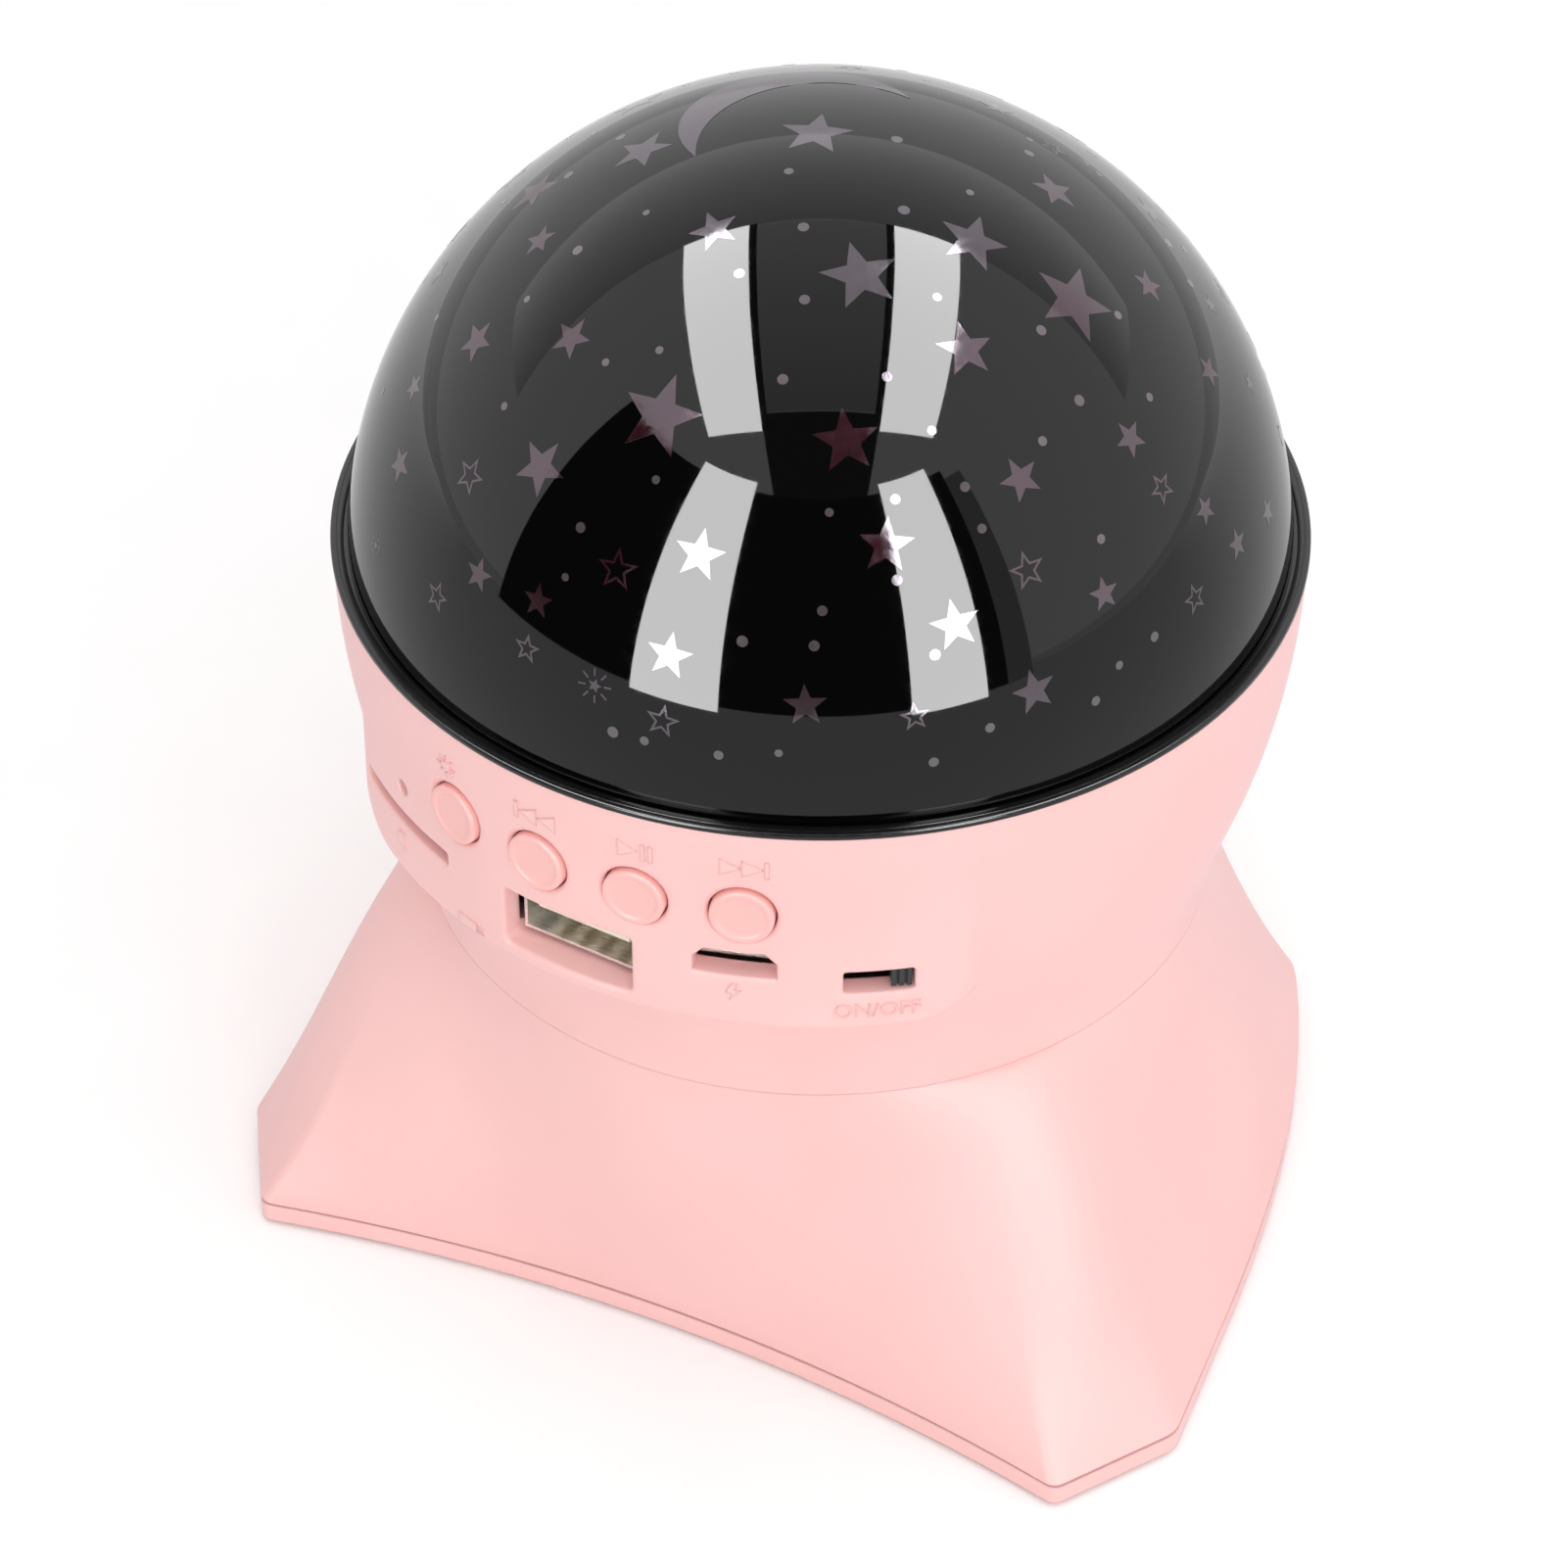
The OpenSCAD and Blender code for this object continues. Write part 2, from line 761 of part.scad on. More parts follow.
module lamp_deck() {
    color(white_plastic)
    difference() {
        union() {
            translate([0, 0, deck_z])
                cylinder(r = collar_out_r - slide_gap, h = deck_t);
            translate([0, 0, deck_z + deck_t - eps])
                cylinder(d = lamp_stand_d, h = lamp_stand_h + eps);
        }
        for (az = deck_pillar_azs)
            around(az)
                translate([0, -deck_pillar_r, deck_z - eps])
                    cylinder(d = screw_hole_d, h = deck_t + 2 * eps);
        translate([lamp_wire_x, 0, deck_z - eps])
            cylinder(d = lamp_wire_hole_d, h = deck_t + 2 * eps);
    }
}

module deck_screws() {
    color(metal)
    for (az = deck_pillar_azs)
        around(az)
            translate([0, -deck_pillar_r, deck_z + deck_t])
                rotate([180, 0, 0])
                    cross_screw(pilot_d, deck_t + screw_bite, screw_head_d, screw_head_h);
}

module lamp_board() {
    color(white_plastic)
    translate([0, 0, lamp_board_z])
        cylinder(d = lamp_board_d, h = board_t);
}

module lamp_leds() {
    color(cream_plastic)
    for (turn = [0 : 90 : 270])
        rotate([0, 0, turn + 45])
            translate([lamp_led_r - lamp_led_w / 2, -lamp_led_w / 2, lamp_board_z + board_t])
                cube([lamp_led_w, lamp_led_w, lamp_led_h]);
}

// ---------- main board and what stands on it ----------

board_r = panel_in_r - 1.1;
socket_mouth_r = panel_in_r - 0.5;

usb_shell_w = 13.1;
usb_shell_h = 5.7;
usb_shell_l = 14;
usb_shell_t = 0.35;
usb_leg_w = 1.2;
micro_shell_w = 7.5;
micro_shell_h = 2.6;
micro_shell_l = 5.6;
micro_shell_t = 0.35;
card_w = 14;
card_l = 15;
switch_body_w = 8.6;
switch_body_l = 4;
tact_w = 6;
tact_h = 6;
tact_l = 3.5;
tact_face_r = panel_in_r - 6.1;
plunger_d = 3.4;
plunger_out = 2;

module main_board() {
    color(board_green)
    difference() {
        intersection() {
            translate([0, 0, board_under_z])
                cylinder(r = board_r, h = board_t);
            translate([-board_half_w, -board_r, board_under_z - eps])
                cube([board_half_w * 2, board_r + board_back_y, board_t + 2 * eps]);
        }
        // notch that the charging port sits in
        radial_box(micro_az, socket_mouth_r - micro_shell_l, board_r + 1, micro_shell_w,
                   board_t + 1, board_z - board_t / 2);
        for (p = board_pillars)
            translate([p[0], p[1], board_under_z - eps])
                cylinder(d = screw_hole_d, h = board_t + 2 * eps);
    }
}

module board_screws() {
    color(metal)
    for (p = board_pillars)
        translate([p[0], p[1], board_z])
            rotate([180, 0, 0])
                cross_screw(pilot_d, board_t + screw_bite, screw_head_d, screw_head_h);
}

// push switch behind one button: a box on a bracket, with a well for the plunger
module tact_body(az) {
    well_depth = plunger_well;
    color(dark_plastic)
    difference() {
        union() {
            radial_box(az, tact_face_r - tact_l, tact_face_r, tact_w, tact_h, button_z);
            radial_box(az, tact_face_r - tact_l, tact_face_r - tact_l / 2, tact_w,
                       button_z - board_z, (button_z + board_z) / 2);
        }
        radial_rod(az, tact_face_r - well_depth, tact_face_r + eps, plunger_d + 2 * button_gap, button_z);
    }
}
plunger_in = 1.2;
plunger_well = plunger_in + button_travel + slide_gap;

module tact_plunger(az) {
    color(white_plastic)
    radial_rod(az, tact_face_r - plunger_in, tact_face_r + plunger_out, plunger_d, button_z);
}

// button: a domed cap, a flange that stops it behind the wall, and a stem down to the plunger
button_flange_d = 8.4;
button_flange_t = 0.9;
button_flange_r = panel_in_r - 0.5;
button_top_bevel = 0.45;

module push_button(az) {
    cap_top_r = panel_r + button_proud;
    color(pink)
    around(az)
        translate([0, 0, button_z])
            rotate([90, 0, 0]) {
                translate([0, 0, button_flange_r - button_flange_t])
                    cylinder(d = button_flange_d, h = button_flange_t);
                translate([0, 0, button_flange_r - eps])
                    cylinder(d = button_d, h = cap_top_r - button_top_bevel - button_flange_r + eps);
                translate([0, 0, cap_top_r - button_top_bevel])
                    cylinder(d1 = button_d, d2 = button_d - 2 * button_top_bevel, h = button_top_bevel);
                translate([0, 0, tact_face_r + plunger_out])
                    cylinder(d = plunger_d, h = button_flange_r - tact_face_r - plunger_out);
            }
}

module led_switch_body() { tact_body(button_azs[0]); }
module previous_switch_body() { tact_body(button_azs[1]); }
module play_switch_body() { tact_body(button_azs[2]); }
module next_switch_body() { tact_body(button_azs[3]); }
module led_plunger() { tact_plunger(button_azs[0]); }
module previous_plunger() { tact_plunger(button_azs[1]); }
module play_plunger() { tact_plunger(button_azs[2]); }
module next_plunger() { tact_plunger(button_azs[3]); }
module led_button() { push_button(button_azs[0]); }
module previous_button() { push_button(button_azs[1]); }
module play_button() { push_button(button_azs[2]); }
module next_button() { push_button(button_azs[3]); }

// USB socket: a thin metal box open to the front, hung from the board on two legs
module usb_socket_shell() {
    back_r = socket_mouth_r - usb_shell_l;
    leg_h = board_under_z - usb_z - usb_shell_h / 2 + eps;
    leg_l = 3;
    color(metal)
    union() {
        difference() {
            radial_box(usb_az, back_r, socket_mouth_r, usb_shell_w, usb_shell_h, usb_z);
            radial_box(usb_az, back_r + usb_shell_t, socket_mouth_r + 1, usb_shell_w - 2 * usb_shell_t,
                       usb_shell_h - 2 * usb_shell_t, usb_z);
        }
        for (side = [-1, 1])
            around(usb_az)
                translate([side * (usb_shell_w - usb_leg_w) / 2 - usb_leg_w / 2, -back_r - 2 * leg_l,
                           board_under_z - leg_h])
                    cube([usb_leg_w, leg_l, leg_h]);
    }
}

usb_tongue_w = 10.6;
usb_tongue_t = 1.9;
usb_tongue_z = usb_z + 0.7;
usb_contact_w = 1;
usb_contact_t = 0.15;
usb_contact_pitch = 2.3;

module usb_socket_tongue() {
    back_r = socket_mouth_r - usb_shell_l + usb_shell_t;
    inner_h = usb_shell_h - 2 * usb_shell_t;
    block_l = 3;
    tongue_set = 0.8;
    color(cream_plastic)
    union() {
        radial_box(usb_az, back_r, back_r + block_l, usb_shell_w - 2 * usb_shell_t, inner_h, usb_z);
        radial_box(usb_az, back_r + block_l - eps, socket_mouth_r - tongue_set, usb_tongue_w,
                   usb_tongue_t, usb_tongue_z);
    }
}

module usb_contacts() {
    contact_set = 1.6;
    contact_l = 7;
    color(brass)
    for (k = [-1.5 : 1 : 1.5])
        around(usb_az)
            translate([k * usb_contact_pitch - usb_contact_w / 2, -socket_mouth_r + contact_set,
                       usb_tongue_z - usb_tongue_t / 2 - usb_contact_t])
                cube([usb_contact_w, contact_l, usb_contact_t]);
}

module charging_port_shell() {
    back_r = socket_mouth_r - micro_shell_l;
    ear_w = 1.4;
    color(metal)
    difference() {
        union() {
            radial_box(micro_az, back_r, socket_mouth_r, micro_shell_w, micro_shell_h, micro_z);
            // ears soldered to the underside of the board
            radial_box(micro_az, back_r + 1, back_r + 3, micro_shell_w + 2 * ear_w, micro_shell_t,
                       board_under_z - micro_shell_t / 2);
        }
        radial_box(micro_az, back_r + micro_shell_t, socket_mouth_r + 1,
                   micro_shell_w - 2 * micro_shell_t, micro_shell_h - 2 * micro_shell_t, micro_z);
    }
}

module charging_port_tongue() {
    back_r = socket_mouth_r - micro_shell_l + micro_shell_t;
    tongue_w = 3.8;
    tongue_t = 0.6;
    color(dark_plastic)
    radial_box(micro_az, back_r, socket_mouth_r - tongue_t, tongue_w, tongue_t, micro_z + tongue_t / 3);
}

module card_socket() {
    mouth_w = 11.4;
    mouth_h = 0.9;
    front_r = socket_mouth_r - 0.4;
    back_t = 1;
    color(metal)
    difference() {
        radial_box(card_az, front_r - card_l, front_r, card_w, card_body_h,
                   board_under_z - card_body_h / 2);
        radial_box(card_az, front_r - card_l + back_t, front_r + back_t, mouth_w, mouth_h,
                   board_under_z - card_body_h / 2);
    }
}

// slide switch under the board, with a track for its knob
knob_h = 2.1;
knob_out_r = panel_r - 0.5;
switch_face_r = panel_in_r - 1.6;
track_depth = switch_body_l * 0.6;
knob_root_r = switch_face_r - track_depth;
knob_rest_x = (switch_cut_w - knob_w) / 2 - slide_gap;
track_h = knob_h + 2 * slide_gap;
track_w = knob_travel + knob_w + 2 * slide_gap;
track_x = knob_rest_x - knob_travel / 2;

module slide_switch_body() {
    color(metal)
    difference() {
        radial_box(switch_az, switch_face_r - switch_body_l, switch_face_r, switch_body_w, switch_body_h,
                   switch_z);
        around(switch_az)
            translate([track_x - track_w / 2, -switch_face_r - eps, switch_z - track_h / 2])
                cube([track_w, track_depth + slide_gap + eps, track_h]);
    }
}

module switch_knob() {
    groove = 0.3;
    color(dark_plastic)
    around(switch_az)
        difference() {
            translate([knob_rest_x - knob_w / 2, -knob_out_r, switch_z - knob_h / 2])
                cube([knob_w, knob_out_r - knob_root_r, knob_h]);
            // two grooves leave ribs for the fingertip
            for (side = [-1, 1])
                translate([knob_rest_x + side * knob_w / 5 - groove / 2, -knob_out_r - eps,
                           switch_z - knob_h / 2 - eps])
                    cube([groove, groove + eps, knob_h + 2 * eps]);
        }
}

chip_w = 9;
chip_h = 1.5;
chip_x = -16;
chip_set_back = 17;
chip_y = board_back_y - chip_set_back;
capacitor_x = [12, 20];
capacitor_set_back = 11;
capacitor_y = board_back_y - capacitor_set_back;
capacitor_d = 5;
capacitor_h = 7;

module player_chip() {
    color(dark_plastic)
    translate([chip_x, chip_y, board_z])
        cube([chip_w, chip_w, chip_h]);
}

module board_capacitors() {
    color(dark_plastic)
    for (x = capacitor_x)
        translate([x, capacitor_y, board_z])
            cylinder(d = capacitor_d, h = capacitor_h);
}

module indicator_led() {
    lens_d = 2.4;
    lens_r = panel_in_r - 3.1;
    block_w = 3.2;
    color(white_plastic)
    union() {
        radial_box(indicator_az, lens_r - 4, lens_r - 2, block_w, indicator_z + lens_d / 2 - board_z,
                   (indicator_z + lens_d / 2 + board_z) / 2);
        radial_rod(indicator_az, lens_r - 2 - eps, lens_r, lens_d, indicator_z);
    }
}

// ---------- battery ----------

cell_l = 2 * (neck_r - wall - cell_margin);
cell_y = 6;
cradle_l = 50;
cradle_w = 20;
cradle_h = 7;
cell_floor = 1.4;
cell_z = floor_z + cell_floor + cell_r + touch_gap;

module battery_cell() {
    color([0.30, 0.45, 0.75])
    translate([-cell_l / 2, cell_y, cell_z])
        rotate([0, 90, 0])
            cylinder(r = cell_r, h = cell_l);
}

module battery_cradle() {
    color(dark_plastic)
    difference() {
        translate([-cradle_l / 2, cell_y - cradle_w / 2, floor_z])
            cube([cradle_l, cradle_w, cradle_h]);
        translate([-cradle_l, cell_y, cell_z])
            rotate([0, 90, 0])
                cylinder(r = cell_r + touch_gap, h = cradle_l * 2);
    }
}

// ---------- speaker ----------

gasket_t = 0.8;
speaker_bite = 1.4;
flange_t = 1.2;
basket_t = 1;
cone_inset = 9;
cone_r = speaker_d / 2 - cone_inset;
surround_w = 3;
speaker_z = seam_z + gasket_t;
magnet_z = speaker_z + flange_t + basket_h;
speaker_hole_r = speaker_d / 2 - 2.4;

module at_speaker(z) {
    translate([0, speaker_y, z])
        children();
}

module speaker_gasket() {
    color(foam_grey)
    at_speaker(seam_z)
        difference() {
            cylinder(d = speaker_d, h = gasket_t);
            translate([0, 0, -eps])
                cylinder(r = cone_r + surround_w, h = gasket_t + 2 * eps);
            for (turn = [0 : 90 : 270])
                rotate([0, 0, turn + 45])
                    translate([speaker_hole_r, 0, -eps])
                        cylinder(d = screw_hole_d, h = gasket_t + 2 * eps);
        }
}

// basket: a flat flange and a pierced cone that carries the magnet
module speaker_frame() {
    flange_in_r = cone_r + surround_w;
    seat_r = magnet_d / 2 - 1;
    color(dark_plastic)
    at_speaker(speaker_z)
        difference() {
            rotate_extrude()
                polygon([
                    [flange_in_r, 0],
                    [speaker_d / 2, 0],
                    [speaker_d / 2, flange_t],
                    [flange_in_r + basket_t, flange_t],
                    [seat_r + basket_t, flange_t + basket_h],
                    [0, flange_t + basket_h],
                    [0, flange_t + basket_h - basket_t],
                    [seat_r, flange_t + basket_h - basket_t],
                    [flange_in_r, flange_t]
                ]);
            for (turn = [0 : 90 : 270])
                rotate([0, 0, turn])
                    translate([seat_r + 1, -6, flange_t + 2])
                        cube([speaker_d / 2, 12, basket_h - 5]);
            for (turn = [0 : 90 : 270])
                rotate([0, 0, turn + 45])
                    translate([speaker_hole_r, 0, -eps])
                        cylinder(d = screw_hole_d, h = flange_t + 2 * eps);
        }
}

module speaker_magnet() {
    color(foam_grey)
    at_speaker(magnet_z)
        cylinder(d = magnet_d, h = magnet_h);
}

cone_t = 0.5;
cone_depth = 6;
coil_r = 6;

module speaker_cone() {
    color(dark_plastic)
    at_speaker(speaker_z + flange_t)
        rotate_extrude()
            polygon([
                [cone_r, 0],
                [cone_r, cone_t],
                [coil_r + cone_t, cone_depth],
                [coil_r + cone_t, basket_h - basket_t],
                [coil_r, basket_h - basket_t],
                [coil_r, cone_depth - cone_t]
            ]);
}

module speaker_surround() {
    roll_r = surround_w / 2;
    color(foam_grey)
    at_speaker(speaker_z + flange_t - cone_t)
        rotate_extrude()
            translate([cone_r + roll_r, cone_t])
                difference() {
                    circle(r = roll_r, $fn = 48);
                    circle(r = roll_r - cone_t, $fn = 48);
                    translate([-surround_w, 0])
                        square([surround_w * 2, surround_w]);
                }
}

module speaker_dust_cap() {
    cap_r = 9;
    color(dark_plastic)
    at_speaker(speaker_z + flange_t + cone_depth - cone_t + sqrt(pow(cap_r, 2) - pow(coil_r, 2)))
        rotate_extrude()
            intersection() {
                difference() {
                    circle(r = cap_r);
                    circle(r = cap_r - cone_t);
                }
                translate([0, -cap_r])
                    square([coil_r - eps, cap_r]);
            }
}

module speaker_screws() {
    color(metal)
    for (turn = [0 : 90 : 270])
        rotate_about_speaker(turn + 45)
            translate([speaker_hole_r, 0, speaker_z + flange_t])
                rotate([180, 0, 0])
                    cross_screw(pilot_d, flange_t + gasket_t + speaker_bite - touch_gap, 4, 1);
}

// ---------- wires ----------

wire_d = 1;
wire_gap = 1.5;
wire_sides = 8;

// tube of diameter d along the points of route
module wire(route, d) {
    count = len(route);
    aim = [for (i = [0 : count - 1])
        let (v = route[min(i + 1, count - 1)] - route[max(i - 1, 0)])
            v / norm(v)];
    points = [for (i = [0 : count - 1])
        let (
            up = abs(aim[i][2]) > 0.8 ? [1, 0, 0] : [0, 0, 1],
            u = cross(aim[i], up) / norm(cross(aim[i], up)),
            v = cross(aim[i], u)
        )
        for (k = [0 : wire_sides - 1])
            route[i] + d / 2 * (cos(k * 360 / wire_sides) * u + sin(k * 360 / wire_sides) * v)];
    faces = concat(
        [[for (k = [0 : wire_sides - 1]) k]],
        [for (i = [0 : count - 2], k = [0 : wire_sides - 1])
            let (a = i * wire_sides + k, b = i * wire_sides + (k + 1) % wire_sides)
                [a, a + wire_sides, b + wire_sides]],
        [for (i = [0 : count - 2], k = [0 : wire_sides - 1])
            let (a = i * wire_sides + k, b = i * wire_sides + (k + 1) % wire_sides)
                [a, b + wire_sides, b]],
        [[for (k = [wire_sides - 1 : -1 : 0]) (count - 1) * wire_sides + k]]
    );
    polyhedron(points = points, faces = faces);
}

// two wires side by side; the direction from one to the other turns from first to last
module wire_pair(route, first, last) {
    for (side = [-0.5, 0.5])
        wire([for (i = [0 : len(route) - 1])
            let (share = min(1, max(0, (i - 1) / (len(route) - 3))))
                route[i] + side * wire_gap * (first * (1 - share) + last * share)], wire_d);
}

wire_bend = 4;

module battery_wires() {
    end_x = cell_l / 2;
    pad = [board_pillar_x - 7, board_back_y - 3];
    color([0.75, 0.12, 0.10])
    wire_pair([
        [end_x, cell_y, cell_z],
        [end_x + wire_d, cell_y, cell_z],
        [end_x + 2 * wire_d, cell_y - 2.5 * wire_bend, cell_z + wire_bend],
        [board_pillar_x, board_pillar_y + pillar_d / 2 + 2.5 * wire_gap, board_under_z - wire_bend],
        [pad[0], pad[1], board_under_z - 2 * wire_d],
        [pad[0], pad[1], board_under_z]
    ], [0, 1, 1], [-1, 1, 0]);
}

module speaker_wires() {
    pad_x = wire_hole_d * 0.75;
    end_y = speaker_y - (cone_r + surround_w + speaker_d / 2) / 2;
    color([0.15, 0.15, 0.16])
    wire_pair([
        [pad_x, wire_hole_y, board_under_z],
        [pad_x, wire_hole_y, board_under_z - 3 * wire_d],
        [0, wire_hole_y, floor_z + 3 * wire_d],
        [0, wire_hole_y, neck_z - shelf_t],
        [0, end_y + 2 * wire_d, neck_z - 3 * wire_bend],
        [0, end_y, speaker_z + flange_t + 1.5 * wire_bend],
        [0, end_y, speaker_z + flange_t]
    ], [1, 0, 0], [1, 0, 0]);
}

module lamp_wires() {
    pad_x = lamp_board_d / 2 - 1.2;
    pad_y = 2 * board_back_y;
    pad_z = lamp_board_z + board_t;
    color([0.80, 0.78, 0.20])
    wire_pair([
        [lamp_wire_x, pad_y, board_z],
        [lamp_wire_x, pad_y, board_z + 3 * wire_d],
        [lamp_wire_x, 0, deck_z - wire_d],
        [lamp_wire_x, 0, deck_z + deck_t + wire_d],
        [lamp_wire_x - 2 * wire_d, 0, pad_z + 1.5 * wire_d],
        [pad_x, 0, pad_z + 1.6 * wire_d],
        [pad_x, 0, pad_z]
    ], [1, 0, 0], [0, 1, 0]);
}

upper_housing();
bezel_ring();
pedestal_skirt();
base_plate();
rubber_feet();
base_screws();
neck_screws();
lamp_deck();
deck_screws();
lamp_board();
lamp_leds();
main_board();
board_screws();
led_switch_body();
previous_switch_body();
play_switch_body();
next_switch_body();
led_plunger();
previous_plunger();
play_plunger();
next_plunger();
led_button();
previous_button();
play_button();
next_button();
usb_socket_shell();
usb_socket_tongue();
usb_contacts();
charging_port_shell();
charging_port_tongue();
card_socket();
slide_switch_body();
switch_knob();
player_chip();
board_capacitors();
indicator_led();
battery_cell();
battery_cradle();
speaker_frame();
speaker_magnet();
speaker_cone();
speaker_surround();
speaker_dust_cap();
speaker_gasket();
speaker_screws();
battery_wires();
speaker_wires();
lamp_wires();
dome_cover();
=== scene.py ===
# %% [markdown]
# # A star night light with a music player in its bowl
#
# The real object is a small lamp for a child's room. A glossy black dome, printed with clear
# stars, covers a white lamp. A soft pink bowl holds the player's keys and sockets, and a flared
# pink pedestal carries the bowl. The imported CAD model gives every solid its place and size.
# Here each surface gets its finish, and the pieces whose skin the camera looks at closely are
# modelled again with smooth curves and soft edges.

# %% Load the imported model
import math
import random

import bmesh
import bpy
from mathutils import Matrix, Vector


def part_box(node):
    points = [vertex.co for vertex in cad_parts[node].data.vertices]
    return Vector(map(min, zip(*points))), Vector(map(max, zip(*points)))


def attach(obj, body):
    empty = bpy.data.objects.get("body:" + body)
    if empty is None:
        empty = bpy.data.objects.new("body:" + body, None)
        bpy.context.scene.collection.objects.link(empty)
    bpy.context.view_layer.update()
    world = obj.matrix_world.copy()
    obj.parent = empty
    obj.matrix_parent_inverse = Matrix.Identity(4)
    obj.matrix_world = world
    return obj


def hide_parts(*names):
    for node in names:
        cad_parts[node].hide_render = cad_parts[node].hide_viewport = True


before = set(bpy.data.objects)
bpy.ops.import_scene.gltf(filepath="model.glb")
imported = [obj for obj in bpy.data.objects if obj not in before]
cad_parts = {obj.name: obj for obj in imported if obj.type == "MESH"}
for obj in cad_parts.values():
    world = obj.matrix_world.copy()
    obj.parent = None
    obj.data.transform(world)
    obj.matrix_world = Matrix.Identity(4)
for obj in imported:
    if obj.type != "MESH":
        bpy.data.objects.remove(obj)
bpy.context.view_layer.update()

# %% [markdown]
# ## Measures
#
# Blender works in metres here, and a maker thinks of such a lamp in millimetres. So lengths are
# written in millimetres and multiplied by MM once, where a shape is made. The heights of the
# seams and the radii of the turned pieces come from the boxes of the CAD nodes, so the new skin
# always meets the solids that it stands on.

# %% Measures
MM = 0.001


def low(node):
    """Lowest corner of a CAD node in millimetres."""
    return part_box(node)[0] / MM


def high(node):
    """Highest corner of a CAD node in millimetres."""
    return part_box(node)[1] / MM


COLLAR_H = 3.6
RING_Z = low("bezel_ring").z + COLLAR_H
RING_R = high("bezel_ring").x
DOME_R = 48.4
DOME_Z = high("dome_cover").z - DOME_R
HOUSING_R = RING_R - 0.2
PANEL_R = HOUSING_R - 0.3
NECK_Z = low("upper_housing").z
SEAM_Z = low("pedestal_skirt").z
MERGE = 0.001 * MM
print("table to dome", round(high("dome_cover").z, 1), "mm; ring at", round(RING_Z, 1), "mm")

# %% [markdown]
# ## Camera
#
# The picture is square and was taken from the front right, a little above the dome. The camera
# is found by matching the dome's outline, the ring's ellipse and the corners of the base. It
# stands 600 mm from the middle of the ring, which gives the same strong perspective.

# %% Place the camera
VIEW_AZIMUTH = math.radians(26)
VIEW_RISE = math.radians(37.82)
VIEW_DISTANCE = 600 * MM
LOOK_DOWN = math.radians(40.39)
LOOK_TURN = math.radians(-0.45)
LENS = 134.67
SENSOR = 36

toward_viewer = Vector((math.sin(VIEW_AZIMUTH), -math.cos(VIEW_AZIMUTH), 0))
viewer_right = Vector((math.cos(VIEW_AZIMUTH), math.sin(VIEW_AZIMUTH), 0))
ring_centre = Vector((0, 0, RING_Z * MM))
eye = ring_centre + VIEW_DISTANCE * (
    math.cos(VIEW_RISE) * toward_viewer + Vector((0, 0, math.sin(VIEW_RISE))))
look = (math.cos(LOOK_DOWN) * (math.sin(LOOK_TURN) * viewer_right - math.cos(LOOK_TURN) * toward_viewer)
        + Vector((0, 0, -math.sin(LOOK_DOWN))))

bpy.ops.object.select_all(action="DESELECT")
bpy.ops.object.camera_add(location=eye)
camera = bpy.context.object
camera.name = "camera"
camera.rotation_euler = look.to_track_quat("-Z", "Y").to_euler()
camera.data.lens = LENS
camera.data.sensor_width = SENSOR
camera.data.dof.use_dof = False
bpy.context.scene.camera = camera
bpy.context.scene.view_settings.view_transform = "Standard"
print("the camera stands at", [round(v / MM) for v in eye], "mm")

# %% [markdown]
# ## A small language for finishes
#
# A material is a net of nodes. Written out node by node, it hides what it does, so two small
# classes do the wiring. A `Tone` wraps the output of a node, and Python's own + and * build the
# Math nodes behind it. A `Finish` is one material, and its `node` method adds any other node
# with its settings and inputs. The methods after it name the few things that a moulder sees in
# a surface: noise, a blend of two colours, a relief and soft edges.

# %% Wrap a varying value
class Tone:
    """A value that varies over a surface: the output socket of a node."""

    def __init__(self, finish, socket):
        self.finish = finish
        self.socket = socket

    def combine(self, operation, other):
        """This value and another one, joined by a Math node."""
        return self.finish.node("ShaderNodeMath", {"operation": operation}, {0: self, 1: other})

    def __add__(self, other):
        return self.combine("ADD", other)

    def __mul__(self, other):
        return self.combine("MULTIPLY", other)

    __radd__ = __add__
    __rmul__ = __mul__


